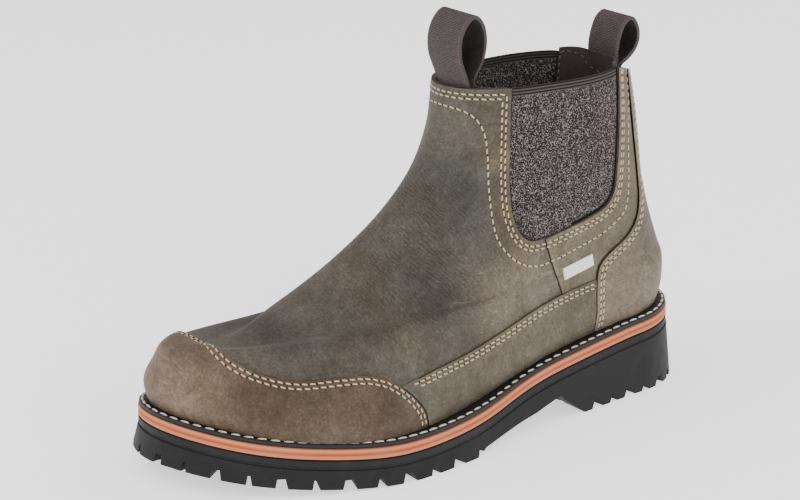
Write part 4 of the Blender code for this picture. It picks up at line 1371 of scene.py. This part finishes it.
def make_toe_cap(last):
    outer = LAID_GAP + OVERLAY_THICKNESS
    made = laid_on(last, "fine_toe_cap", toe_outline(0), [], outer, OVERLAY_THICKNESS)
    finishes = leathers("cap_leather", colours().toe_cap, 0.31)
    dressed(made, last, finishes, [toe_outline(0)], outer, EDGE_DROP)
    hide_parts("toe_cap")


def make_counter(last):
    outer = LAID_GAP + OVERLAY_THICKNESS + settings().counter_rise
    made = laid_on(last, "fine_counter", counter_outline(0), [], outer, OVERLAY_THICKNESS)
    finishes = leathers("counter_leather", colours().counter, 0.57)
    dressed(made, last, finishes, [counter_outline(0)], outer, EDGE_DROP)
    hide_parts("heel_counter")


def side_tools(taken, side):
    """Cutters that take an outline and the counter off a piece and keep one side of it."""
    low, high = side_reach(side)
    return [
        (side_prism(taken, low, high), "DIFFERENCE"),
        (side_prism(counter_outline(settings().counter_gap), low, high), "DIFFERENCE"),
        (side_prism(SQUARE, low, high), "INTERSECT"),
    ]


def make_side_panels(last):
    outer = LAID_GAP + OVERLAY_THICKNESS
    for side, seed in (("lateral", 0.83), ("medial", 1.21)):
        tools = side_tools(toe_outline(SEAT_GAP), side)
        name = "fine_%s_side_panel" % side
        made = laid_on(last, name, side_panel_outline(), tools, outer, OVERLAY_THICKNESS)
        finishes = leathers("panel_leather", colours().side_panel, seed)
        dressed(made, last, finishes, [side_panel_outline()], outer, EDGE_DROP)
        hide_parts(side + "_side_panel")


def make_quarters(last):
    """The back quarter of each side, whose front edge is the seam under the gore."""
    outer = settings().quarter_rise
    for side, seed in (("lateral", 0.12), ("medial", 1.53)):
        tools = side_tools(gore_outline(-QUARTER_OVERLAP), side)
        name = "%s_quarter" % side
        made = laid_on(last, name, quarter_outline(), tools, outer, outer + QUARTER_SINK)
        finishes = leathers("quarter_leather", colours().quarter, seed)
        dressed(made, last, finishes, [quarter_outline(), gore_outline(0)], outer, QUARTER_EDGE_DROP)


def make_gores(last):
    """Elastic cloth in each cut-out, with the folded top, and the gap at its back edge sunk and painted
    dark as shadow.
    """
    sizes = settings()
    for side in ("lateral", "medial"):
        low, high = side_reach(side)
        made = shell(last, "fine_%s_gore" % side, -GORE_SINK, GORE_THICKNESS)
        cut(made, [(side_prism(gore_outline(SEAT_GAP), low, high), "INTERSECT")])
        points = boot_points(made)
        depth, normals = last.depths_near(points)
        inside = outline_distance(gore_outline(0), points, normals)
        back = points[:, 1] < sizes.gore_middle
        dip = np.where(back, np.clip(1 - inside / sizes.gore_gap, 0, 1), 0) * GORE_EDGE_SINK
        points = points - dip[:, None] * normals
        made.data.vertices.foreach_set("co", world(points).ravel())
        top = last.top_gap(points)
        # Painted shadow along the sunk gap at the back edge and painted shade along the other edges, stored
        # as edge
        shade = np.where(back, np.clip(GORE_EDGE_SHADE - inside / sizes.gore_gap, 0, 1), 0)
        rim = np.clip(GORE_RIM_SHADE - inside / GORE_RIM_REACH, 0, 1) * GORE_RIM_DARKNESS
        shade = np.maximum(shade, rim)
        fold = np.clip(1.5 - top / sizes.fold_height, 0, 1)
        store_paint(made.data, {"edge": shade, "fold": fold})
        faced(made, finish("gore_cloth", gore_finish), 45)
        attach(made, BODY)
        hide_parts(side + "_gore")


def make_collar_linings(last):
    """Lining inside the collar at the back and the front, which covers the loops' legs."""
    sizes = settings()
    wall = UPPER_WALL + LINING_GAP
    rows = last.rows
    legs = WEBBING_THICKNESS * 2 + LOOP_CLEARANCE + SEAT_GAP * 2
    sewn = Stitching()
    for name, start, end, half, drop, rise in (
        ("back_collar_lining", -0.10, sizes.back_lining_reach, BACK_LOOP_WIDTH / 2,
         BACK_LINING_DROP, sizes.lining_rise),
        ("front_collar_lining", sizes.front_lining_start, 1.10, FRONT_LOOP_WIDTH / 2,
         FRONT_LINING_DROP, 0.0),
    ):
        start, end = start * SOLE_LENGTH, end * SOLE_LENGTH
        middle = sizes.gore_middle
        mine = rows[..., 1] < middle if start < 0 else rows[..., 1] > middle
        away = np.clip((np.abs(rows[..., 0]) - half - LEG_SIDE_CLEARANCE) / LEG_SIDE_REACH, 0, 1)
        cover = (1 - away * away * (3 - 2 * away)) * mine
        top = last.top_gap_rows
        low = np.clip((top - LOOP_TAIL - LEG_END_CLEARANCE) / LEG_END_REACH, 0, 1)
        cover = cover * (1 - low * low * (3 - 2 * low))
        outer = -(wall + legs * cover)
        ahead = end - rows[..., 1] if start < 0 else rows[..., 1] - start
        back = rise > 0
        dip = (rows[-1, :, 2].max() - rows[-1, :, 2]) * back
        dip = dip * (LINING_DIP_SHARE + (1 - LINING_DIP_SHARE) * away[-1])
        roll = sizes.lining_roll * back * np.clip(ahead[-1] / ROLL_REACH, 0, 1)
        arc = (rise + dip) * np.clip(1 + ahead[-1] / RIM_REACH, 0, 1) + roll
        pushed = sizes.lining_push * back * (1 - away[-1])
        made = shell(last, name, outer, sizes.lining_thickness, arc, pushed)
        top_line = COLLAR_HEIGHT - drop
        box = [(start, top_line), (end, top_line), (end, 1), (start, 1)]
        cut(made, [(side_prism(box, -BALL_WIDTH, BALL_WIDTH), "INTERSECT")])
        faced(made, finish("collar_lining", collar_lining_finish), 50)
        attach(made, BODY)
        edge = np.minimum(ahead - LINING_ROW, top - (RIM_ROW if back else LINING_ROW))
        keep = (mine & (rows[..., 2] > top_line + LINING_ROW_ABOVE)).astype(float) - 0.5
        for line in contours(last, edge, 0.0, outer - sizes.lining_thickness, keep):
            line[:, 3:] *= -1
            crown = rows[-1]
            near = np.argmin(np.linalg.norm(crown[None, :, :2] - line[:, None, :2], axis=2), axis=1)
            share = np.clip(1 - (crown[near, 2] - line[:, 2]) / top[-2].mean(), 0, 1)
            line[:, :2] += (share * pushed[near])[:, None] * line[:, 3:5]
            line[:, 2] += share * arc[near]
            sewn.along_line(line, sizes.stitch_pitch, sizes.stitch_length, sizes.thread_radius)
    thread = dyed_thread("lining_thread", (62, 54, 52), (108, 98, 94))
    sewn.piece("lining_stitches", thread)


def make_label(last):
    lean = np.array([-math.cos(TAG_PLACE["tilt"]), math.sin(TAG_PLACE["tilt"])])
    rise = np.array([lean[1], -lean[0]])
    middle = np.array([TAG_PLACE["along"] * SOLE_LENGTH, TAG_PLACE["up"] * COLLAR_HEIGHT])
    outline = [
        tuple(middle + a * lean * TAG_LENGTH / 2 + b * rise * TAG_HEIGHT / 2)
        for a, b in SQUARE
    ]
    low, high = side_reach("lateral")
    made = shell(last, "fine_label", settings().quarter_rise + TAG_THICKNESS, TAG_THICKNESS)
    cut(made, [(side_prism(outline, low, high), "INTERSECT")])
    faced(made, finish("tag_cloth", label_finish), 45)
    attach(made, BODY)
    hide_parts("side_tag")


# Stitches on the leather


def make_seams(last):
    rows = last.rows
    high = rows[..., 2]
    laid = LAID_GAP + OVERLAY_THICKNESS
    above_welt = high > rows[0, :, 2][None, :] + WELT_CLEARANCE

    def inside(outline):
        return outline_distance(outline, rows, last.normals)

    def lines(field, levels, lift, keep):
        found = []
        for level in levels:
            found += contours(last, field, level, lift, keep.astype(float) - 0.5)
        return found

    toe = inside(toe_outline(0))
    counter = inside(counter_outline(0))
    panel = inside(side_panel_outline())
    gore = -inside(gore_outline(0))
    quarter = inside(quarter_outline())
    single = inside(single_row_outline())
    seam_stitches("toe_cap_stitches", lines(toe, STITCH_ROWS, laid, above_welt))
    raised = laid + settings().counter_rise
    seam_stitches("counter_stitches", lines(counter, STITCH_ROWS, raised, above_welt))
    keep = (toe < -CAP_CLEARANCE) & (counter < -COUNTER_CLEARANCE) & above_welt
    seam_stitches("side_panel_stitches", lines(panel, STITCH_ROWS, laid, keep))
    lift = settings().quarter_rise * np.clip(quarter / QUARTER_FADE, 0, 1)
    front = rows[..., 1] > GORE_FRONT_SHARE * SOLE_LENGTH
    field = np.where(front, np.minimum(gore, last.top_gap_rows), gore)
    keep = (counter < -GORE_ROW_CLEARANCE) & (high > GORE_ROW_HEIGHT)
    seam_stitches("gore_stitches", lines(field, GORE_ROWS, lift, keep))
    keep = (counter < -SINGLE_ROW_CLEARANCE) & (high > SINGLE_ROW_HEIGHT)
    seam_stitches("single_row_stitches", lines(single, (0.0,), lift, keep))
    keep = (gore > SEAM_CORD_CLEARANCE) & (panel < 0) & (high < SEAM_CORD_TOP_SHARE * COLLAR_HEIGHT)
    cord = lines(quarter, (-SEAM_CORD_OFFSET,), SEAM_CORD_LIFT, keep)
    # A dark cord that paints the shadow in the seam under the elastic
    dark_cord("quarter_seam_shadow", cord, SEAM_CORD_RADIUS)


def make_welt_stitches():
    sizes = settings()
    ring = sole_ring(WELT_INSET + sizes.welt_stitch_inset, SOLE_AROUND)
    points = at_height(ring, WELT_THICKNESS)
    normals = np.tile((0.0, 0.0, 1.0), (len(points), 1))
    line = np.concatenate([points, normals], 1)
    line = np.concatenate([line, line[:1]])
    made = Stitching()
    radius = sizes.welt_thread_radius
    made.along_line(line, sizes.welt_pitch, sizes.welt_length, radius, WELT_STITCH_TILT, False)
    thread = dyed_thread("welt_thread", (190, 180, 158), (240, 232, 214))
    made.piece("welt_stitches", thread)


# Sole pieces


def at_height(ring, height):
    """Adds to a plan ring the midsole's top moved by the height."""
    return np.column_stack([ring, midsole_top(ring[:, 1] / SOLE_LENGTH) + height])


def ground_line(along):
    """Height of the outsole's underside at a share of the sole's length."""
    toe = smooth(column(SOLE_LINE, "along"), column(SOLE_LINE, "toe"), along)
    return GROUND_LIFT * TOE_RISE * np.maximum(toe, 0)


def on_ground(ring, height):
    return np.column_stack([ring, ground_line(ring[:, 1] / SOLE_LENGTH) + height])


def lofted(name, rings, finishes, paint=None, closed_up=False, sharp=35):
    count = len(rings[0])
    faces = quads_between(len(rings), count, closed_up=closed_up)
    if not closed_up:
        faces += ladder(0, count) + ladder((len(rings) - 1) * count, count)
    return new_piece(name, np.concatenate(rings), faces, finishes, None, paint, sharp=sharp)


def make_midsole():
    rise = MIDSOLE_THICKNESS
    rings = [at_height(sole_ring(i, SOLE_AROUND), (h - 1) * rise) for i, h in MIDSOLE_EDGE]
    band = np.repeat([h for _, h in MIDSOLE_EDGE], SOLE_AROUND)
    made = lofted("fine_midsole", rings, [finish("tan_midsole", midsole_finish)], {"band": band})
    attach(made, BODY)
    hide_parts("midsole")


def make_welt():
    outer = [(WELT_INSET + 0.0003, SEAT_GAP), (WELT_INSET, 0.0008), (WELT_INSET, 0.0018)]
    outer += [(WELT_INSET + 0.0006, WELT_THICKNESS), (WELT_MARGIN, WELT_THICKNESS), (WELT_MARGIN, SEAT_GAP)]
    rings = [at_height(sole_ring(i, SOLE_AROUND), h) for i, h in outer]
    made = lofted("fine_welt", rings, [finish("welt_strip", welt_finish)], closed_up=True)
    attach(made, BODY)
    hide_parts("welt")


def make_insole():
    first = ring_points(RINGS[0], SOLE_AROUND)
    plan = first[:, :2]
    board = plan - (UPPER_WALL + INSOLE_CLEARANCE) * outward(plan)
    seat = WELT_THICKNESS + SEAT_GAP
    top = seat + INSOLE_THICKNESS
    rings = [
        at_height(sole_ring(WELT_MARGIN + SEAT_GAP, SOLE_AROUND), SEAT_GAP),
        at_height(sole_ring(WELT_MARGIN + SEAT_GAP, SOLE_AROUND), seat),
        at_height(board, seat),
        at_height(board, top - INSOLE_EDGE),
        at_height(board - INSOLE_EDGE * outward(board), top),
    ]
    made = lofted("fine_insole", rings, [finish("insole_lining", insole_finish)])
    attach(made, BODY)
    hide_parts("insole")


def arch_tool():
    breast = HEEL_BLOCK_LENGTH
    front = HEEL_BLOCK_LENGTH + ARCH_LENGTH + ARCH_SLOPE
    outline = [
        (breast, -CUT_PAST),
        (breast, 0),
        (breast + ARCH_SLOPE, ARCH_HEIGHT - ARCH_CORNER),
        (breast + ARCH_SLOPE + ARCH_CORNER, ARCH_HEIGHT),
        (breast + ARCH_LENGTH * ARCH_MIDDLE["along"], ARCH_HEIGHT * ARCH_MIDDLE["up"]),
        (front, ARCH_HEIGHT * ARCH_FRONT_UP),
        (front + ARCH_SLOPE * ARCH_RUN_OUT, 0),
        (front + ARCH_SLOPE * ARCH_RUN_OUT, -CUT_PAST),
    ]
    return side_prism(outline, -BALL_WIDTH, BALL_WIDTH)


def channel_tool():
    outer = sole_ring(LUG_DEPTH - OUTSOLE_FLARE, SOLE_AROUND)
    inner = sole_ring(LUG_DEPTH - OUTSOLE_FLARE + CHANNEL_WIDTH, SOLE_AROUND)
    rings = [
        on_ground(outer, -CUT_PAST),
        on_ground(outer, LUG_HEIGHT),
        on_ground(inner, LUG_HEIGHT),
        on_ground(inner, -CUT_PAST),
    ]
    return lofted("cutter", rings, [], closed_up=True)


def wedge(middle, direction, length, low_width, high_width, low, high):
    """Corners and faces of an upright wedge whose length lies along a direction in plan."""
    side = np.array([-direction[1], direction[0]])
    corners = []
    for up, width in ((low, low_width), (high, high_width)):
        for a, b in SQUARE:
            point = middle + direction * a * length / 2 + side * b * width / 2
            corners.append((point[0], point[1], up))
    faces = [(0, 1, 2, 3), (4, 5, 6, 7), (0, 1, 5, 4), (1, 2, 6, 5), (2, 3, 7, 6), (3, 0, 4, 7)]
    return corners, faces


def wedges_tool(wedges):
    points = []
    faces = []
    for corners, sides in wedges:
        faces += [tuple(len(points) + i for i in side) for side in sides]
        points += corners
    return new_piece("cutter", points, faces, [])


def notch_wedges():
    """Tapered gaps between the rim lugs, wide and narrow in turn, in two lists."""
    rim = sole_ring(-OUTSOLE_FLARE, RIM_POINTS)
    facing = outward(rim)
    heights = ground_line(rim[:, 1] / SOLE_LENGTH) + LUG_HEIGHT
    steps = np.linalg.norm(np.roll(rim, -1, 0) - rim, axis=1)
    walked = np.concatenate([[0], np.cumsum(steps)])
    around = walked[-1]
    count = round(around / LUG_PITCH)
    places = [((n + FIRST_LUG) * around / count, n) for n in range(count)]
    heel_count = math.floor(2 * HEEL_BLOCK_LENGTH / HEEL_LUG_PITCH)
    heel_places = [(n * HEEL_LUG_PITCH % around, n) for n in range(-heel_count, heel_count + 1)]
    reach = LUG_DEPTH + CHANNEL_WIDTH / 2
    made = ([], [])
    for at_heel, group in ((False, places), (True, heel_places)):
        for distance, n in group:
            place = min(np.searchsorted(walked, distance), RIM_POINTS - 1)
            if at_heel != (rim[place, 1] < HEEL_BLOCK_LENGTH):
                continue
            gap = NARROW_GAP if n % 2 else WIDE_GAP
            high = heights[place]
            low_width = gap + GAP_TAPER * CUT_PAST / high
            middle = rim[place] + facing[place] * (CUT_PAST - reach) / 2
            length = reach + CUT_PAST
            made[n % 2].append(
                wedge(middle, facing[place], length, low_width, gap - GAP_TAPER, -CUT_PAST, high)
            )
    return made


def cross_tool():
    made = []
    heights = ground_line(column(TREAD_GROOVES, "along")) + LUG_HEIGHT
    for row, high in zip(TREAD_GROOVES, heights):
        middle = np.array([row["centre"] * BALL_WIDTH / 2, row["along"] * SOLE_LENGTH])
        direction = np.array([math.cos(row["slant"]), math.sin(row["slant"])])
        length = row["length"] * BALL_WIDTH
        made.append(wedge(middle, direction, length, CHANNEL_WIDTH, CHANNEL_WIDTH, -CUT_PAST, high))
    return wedges_tool(made)


def make_outsole():
    top = -MIDSOLE_THICKNESS - SEAT_GAP
    rows = [
        on_ground(sole_ring(-OUTSOLE_FLARE, SOLE_AROUND), 0),
        at_height(sole_ring(-BODY_FLARE, SOLE_AROUND), top - GROOVE_DROP - GROOVE_HEIGHT),
        at_height(sole_ring(GROOVE_DEPTH, SOLE_AROUND), top - GROOVE_DROP - GROOVE_HEIGHT / 2),
        at_height(sole_ring(0, SOLE_AROUND), top - GROOVE_DROP),
        at_height(sole_ring(0, SOLE_AROUND), top - OUTSOLE_EDGE),
        at_height(sole_ring(OUTSOLE_EDGE, SOLE_AROUND), top),
    ]
    made = lofted("fine_outsole", rows, [finish("black_rubber", rubber_finish)], sharp=30)
    wide, narrow = notch_wedges()
    tools = [arch_tool(), channel_tool(), wedges_tool(wide), wedges_tool(narrow), cross_tool()]
    cut(made, [(tool, "DIFFERENCE") for tool in tools])
    points = boot_points(made)
    middle = midsole_top(points[:, 1] / SOLE_LENGTH) + top - GROOVE_DROP - GROOVE_HEIGHT / 2
    # A pale line along the groove: dust and painted highlight
    store_paint(made.data, {"groove": np.abs(points[:, 2] - middle) < GROOVE_DUST_AND_HIGHLIGHT})
    smoothed(made.data, 30)
    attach(made, BODY)
    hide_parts("outsole")


# Pull loops


def wall_place(rows, end, across, up):
    """Where the upper's inner face lies along, at the front or the back, for a place and height."""
    heights = []
    places = []
    for row in rows:
        middle = row[:, 1].mean()
        near = row[(row[:, 1] - middle) * end > 0]
        near = near[np.argsort(near[:, 0])]
        places.append(np.interp(across, near[:, 0], near[:, 1]))
        heights.append(np.interp(across, near[:, 0], near[:, 2]))
    return float(np.interp(up, heights, places))


def make_loop(last, name, end, course, width, rise, base_up, node):
    """A webbing loop whose two legs run down inside the upper's front (end 1) or back (end -1)."""
    wall = last.moved(-UPPER_WALL)[-FINE_ROWS // 3:]
    depth = WEBBING_THICKNESS / 2 + LOOP_CLEARANCE
    second = depth + WEBBING_THICKNESS + SEAT_GAP
    path = np.stack([column(course, "out"), column(course, "up")], 1) * rise
    walked = distances_along(path)
    path = smooth(walked, path, np.linspace(0, walked[-1], LOOP_POINTS))
    path[:, 0] += np.linspace(0, path[0, 0] - path[-1, 0] - (second - depth), LOOP_POINTS)
    tail = LOOP_TAIL_STEPS
    down = np.linspace(-LOOP_TAIL, 0, tail, endpoint=False)
    outs = np.concatenate([np.zeros(tail), path[:, 0], np.full(tail, depth - second)])
    ups = np.concatenate([down, path[:, 1], down[::-1]])
    points = []
    for out, up in zip(outs, ups):
        flat = min(max(up / rise, 0), 1)
        for share in np.linspace(-0.5, 0.5, LOOP_STRIPS):
            across = share * width
            height = base_up + up
            centre = wall_place(wall, end, 0, min(height, base_up))
            edge = wall_place(wall, end, across, min(height, base_up))
            bow = (centre - edge) * (1 - flat) ** 2
            points.append((across, centre - bow - end * depth + end * out, height))
    points = np.array(points)
    middle = points.reshape(-1, LOOP_STRIPS, 3)[:, LOOP_STRIPS // 2]
    run = distances_along(middle)
    across = np.tile(np.linspace(0, 1, LOOP_STRIPS), len(outs))
    uv = np.stack([across, np.repeat(run, LOOP_STRIPS)], 1)
    faces = quads_between(len(outs), LOOP_STRIPS, closed_around=False)
    webbings = [
        finish("loop_webbing", webbing_finish, "loop_webbing", 0.0),
        # A darker copy for the loop's inner face, as painted shade
        finish("loop_webbing_inside", webbing_finish, "loop_webbing_inside", 1.4),
    ]
    made = new_piece(name, points, faces, webbings, uv=uv)
    strap = made.modifiers.new("webbing", "SOLIDIFY")
    strap.thickness = WEBBING_THICKNESS
    strap.offset = 0
    strap.use_even_offset = True
    # The inner face takes the darker copy of the webbing: painted shade
    strap.material_offset = 1
    baked(made)
    smoothed(made.data, 50)
    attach(made, BODY)
    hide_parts(node)


# Studio


def area_light(name, place, size, power, target):
    lamp = bpy.data.lights.new(name, "AREA")
    lamp.shape = "RECTANGLE"
    lamp.size, lamp.size_y = size
    lamp.energy = power
    made = bpy.data.objects.new(name, lamp)
    made.location = place
    aim = Vector(target) - Vector(place)
    made.rotation_euler = aim.to_track_quat("-Z", "Y").to_euler()
    bpy.context.scene.collection.objects.link(made)


def make_camera():
    azimuth = math.radians(VIEW_AZIMUTH)
    rise = math.radians(VIEW_ELEVATION)
    target = Vector((VIEW_TARGET["across"] - MID_ACROSS, VIEW_TARGET["along"], VIEW_TARGET["up"]))
    level = math.cos(rise)
    back = Vector((math.sin(azimuth) * level, -math.cos(azimuth) * level, math.sin(rise)))
    lens = bpy.data.cameras.new("photo_camera")
    lens.sensor_width = SENSOR_WIDTH
    lens.lens = LENS_PIXELS * SENSOR_WIDTH / PHOTO_WIDTH
    made = bpy.data.objects.new("photo_camera", lens)
    turn = back.to_track_quat("Z", "Y").to_matrix().to_4x4()
    roll = Matrix.Rotation(math.radians(VIEW_ROLL), 4, "Z")
    made.matrix_world = Matrix.Translation(target + back * VIEW_DISTANCE) @ turn @ roll
    bpy.context.scene.collection.objects.link(made)
    bpy.context.scene.camera = made


def make_stage():
    make_camera()
    half = 3.0
    floor = bpy.data.meshes.new("studio_floor")
    corners = [(-half, -half, 0), (half, -half, 0), (half, half, 0), (-half, half, 0)]
    floor.from_pydata(corners, [], [(0, 1, 2, 3)])
    floor.materials.append(finish("studio_floor", floor_finish))
    made = bpy.data.objects.new("studio_floor", floor)
    bpy.context.scene.collection.objects.link(made)
    sky = bpy.data.worlds.new("studio")
    sky.use_nodes = True
    sky.node_tree.nodes["Background"].inputs["Color"].default_value = (1, 1, 1, 1)
    sky.node_tree.nodes["Background"].inputs["Strength"].default_value = settings().sky
    bpy.context.scene.world = sky
    middle = (0, 0, 0.08)
    area_light("key", (-0.3, -1.5, 1.5), (1.2, 1.2), settings().key_light, middle)
    area_light("side", (1.9, -0.2, 1.0), (1.4, 1.0), settings().side_light, middle)
    area_light("back", (0.4, 1.4, 1.6), (1.6, 1.0), settings().back_light, middle)


# Blender's sidebar and operators


def length(name, description, default):
    return FloatProperty(name=name, description=description, default=default, unit="LENGTH", precision=5)


def colour(name, description, default):
    return FloatVectorProperty(
        name=name, description=description, default=default, size=3, subtype="COLOR", min=0, max=2
    )


class BootSizes(bpy.types.PropertyGroup):
    stitch_pitch: length("Stitch pitch", "From one stitch of the leather to the next", 0.0038)
    stitch_length: length("Stitch length", "Length of a stitch that shows", 0.0028)
    thread_radius: length("Thread radius", "Half the thickness of the leather's thread", 0.00034)
    welt_pitch: length("Welt stitch pitch", "From one stitch of the welt to the next", 0.0062)
    welt_length: length("Welt stitch length", "Length of a welt stitch that shows", 0.0052)
    welt_thread_radius: length("Welt thread radius", "Half the thickness of the welt's thread", 0.00055)
    welt_stitch_inset: length("Welt stitch inset", "From the welt's edge to its stitches", 0.0015)
    quarter_rise: length("Quarter rise", "How far the back quarter stands out from the vamp", 0.0005)
    counter_rise: length("Counter rise", "How far the counter stands above the side panel", 0.0003)
    counter_gap: length("Counter gap", "Dark gap in front of the counter", 0.0010)
    gore_gap: length("Gore gap", "Width of the shadow behind the elastic's back edge", 0.0017)
    gore_middle: length("Gore middle", "A place along the boot inside the elastic", 0.0830)
    fold_height: length("Fold height", "Height of the elastic's folded top", 0.0040)
    lining_thickness: length("Lining thickness", "Thickness of the collar's lining", 0.0012)
    lining_rise: length("Lining rise", "How far the back lining stands above the leather", 0.0016)
    lining_roll: length("Lining roll", "How much higher the back lining stands at the back", 0.0015)
    lining_push: length("Lining push", "How far the loop pushes the back lining's top in", 0.0022)
    back_lining_reach: FloatProperty(
        name="Back lining reach", description="Share of the sole's length that it reaches", default=0.160
    )
    front_lining_start: FloatProperty(
        name="Front lining start", description="Share of the sole's length where it starts", default=0.390
    )
    floor_glow: FloatProperty(name="Floor glow", description="Light that the floor gives off", default=1.0)
    sky: FloatProperty(name="Sky", description="Strength of the studio's even light", default=0.9)
    key_light: FloatProperty(name="Key light", description="Power of the front light", default=16.0)
    side_light: FloatProperty(name="Side light", description="Power of the side light", default=12.0)
    back_light: FloatProperty(name="Back light", description="Power of the back light", default=8.0)


class BootColours(bpy.types.PropertyGroup):
    vamp: colour("Vamp", "Leather of the vamp", linear(74, 68, 60))
    quarter: colour("Quarter", "Leather of the back quarter", linear(96, 87, 73))
    toe_cap: colour("Toe cap", "Leather of the toe cap", linear(77, 64, 53))
    side_panel: colour("Side panel", "Leather of the side panels", linear(85, 77, 66))
    counter: colour("Counter", "Leather of the heel counter", linear(110, 98, 86))
    warm_tint: colour("Warm tint", "What the warmer leather is multiplied by", (1.12, 1.00, 0.80))
    cool_tint: colour("Cool tint", "What the cooler leather is multiplied by", (0.92, 1.00, 1.10))
    floor: colour("Floor", "The studio's floor", (0.93, 0.93, 0.93))


LAST = []


def boots_last():
    """The leather's surface, worked out once."""
    if not LAST:
        LAST.append(Last())
    return LAST[0]


class BOOT_OT_upper(bpy.types.Operator):
    """Makes the vamp, the back quarters and the lining inside them"""
    bl_idname = "boot.upper"
    bl_label = "Upper"

    def execute(self, context):
        make_upper(boots_last())
        make_quarters(boots_last())
        return {"FINISHED"}


class BOOT_OT_overlays(bpy.types.Operator):
    """Makes the toe cap, the side panels, the heel counter and the side tag"""
    bl_idname = "boot.overlays"
    bl_label = "Toe cap, side panels and counter"

    def execute(self, context):
        make_toe_cap(boots_last())
        make_side_panels(boots_last())
        make_counter(boots_last())
        make_label(boots_last())
        return {"FINISHED"}


class BOOT_OT_elastic(bpy.types.Operator):
    """Makes the elastic side gores and the collar's linings"""
    bl_idname = "boot.elastic"
    bl_label = "Elastic and collar"

    def execute(self, context):
        make_gores(boots_last())
        make_collar_linings(boots_last())
        return {"FINISHED"}


class BOOT_OT_stitches(bpy.types.Operator):
    """Sews the rows of stitches on the leather and on the welt"""
    bl_idname = "boot.stitches"
    bl_label = "Stitches"

    def execute(self, context):
        make_seams(boots_last())
        make_welt_stitches()
        return {"FINISHED"}


class BOOT_OT_loops(bpy.types.Operator):
    """Makes the front and the back pull loop"""
    bl_idname = "boot.loops"
    bl_label = "Pull loops"

    def execute(self, context):
        last = boots_last()
        front_up = COLLAR_HEIGHT
        back_up = COLLAR_HEIGHT - COLLAR_BACK_DIP
        make_loop(last, "fine_front_loop", 1, FRONT_LOOP_PATH, FRONT_LOOP_WIDTH, FRONT_LOOP_RISE,
                  front_up, "front_pull_loop")
        make_loop(last, "fine_back_loop", -1, BACK_LOOP_PATH, BACK_LOOP_WIDTH, BACK_LOOP_RISE,
                  back_up, "back_pull_loop")
        return {"FINISHED"}


class BOOT_OT_sole(bpy.types.Operator):
    """Makes the insole, the welt, the midsole and the lugged outsole"""
    bl_idname = "boot.sole"
    bl_label = "Sole"

    def execute(self, context):
        make_insole()
        make_welt()
        make_midsole()
        make_outsole()
        return {"FINISHED"}


class BOOT_OT_stage(bpy.types.Operator):
    """Sets up the floor, the lights and the camera"""
    bl_idname = "boot.stage"
    bl_label = "Stage"

    def execute(self, context):
        make_stage()
        return {"FINISHED"}


class BOOT_PT_pieces(bpy.types.Panel):
    bl_label = "Boot"
    bl_idname = "BOOT_PT_pieces"
    bl_space_type = "VIEW_3D"
    bl_region_type = "UI"
    bl_category = "Boot"

    def draw(self, context):
        for operator in OPERATORS:
            self.layout.operator(operator.bl_idname)
        for group in (context.scene.boot_sizes, context.scene.boot_colours):
            for name in group.__annotations__:
                self.layout.prop(group, name)


OPERATORS = (
    BOOT_OT_stage,
    BOOT_OT_sole,
    BOOT_OT_upper,
    BOOT_OT_overlays,
    BOOT_OT_elastic,
    BOOT_OT_loops,
    BOOT_OT_stitches,
)
CLASSES = (BootSizes, BootColours, *OPERATORS, BOOT_PT_pieces)


def register():
    for one in CLASSES:
        bpy.utils.register_class(one)
    bpy.types.Scene.boot_sizes = PointerProperty(type=BootSizes)
    bpy.types.Scene.boot_colours = PointerProperty(type=BootColours)


def unregister():
    del bpy.types.Scene.boot_colours
    del bpy.types.Scene.boot_sizes
    for one in reversed(CLASSES):
        bpy.utils.unregister_class(one)


def main():
    register()
    bpy.ops.boot.stage()
    bpy.ops.boot.sole()
    bpy.ops.boot.upper()
    bpy.ops.boot.overlays()
    bpy.ops.boot.elastic()
    bpy.ops.boot.loops()
    bpy.ops.boot.stitches()


if __name__ == "__main__":
    main()
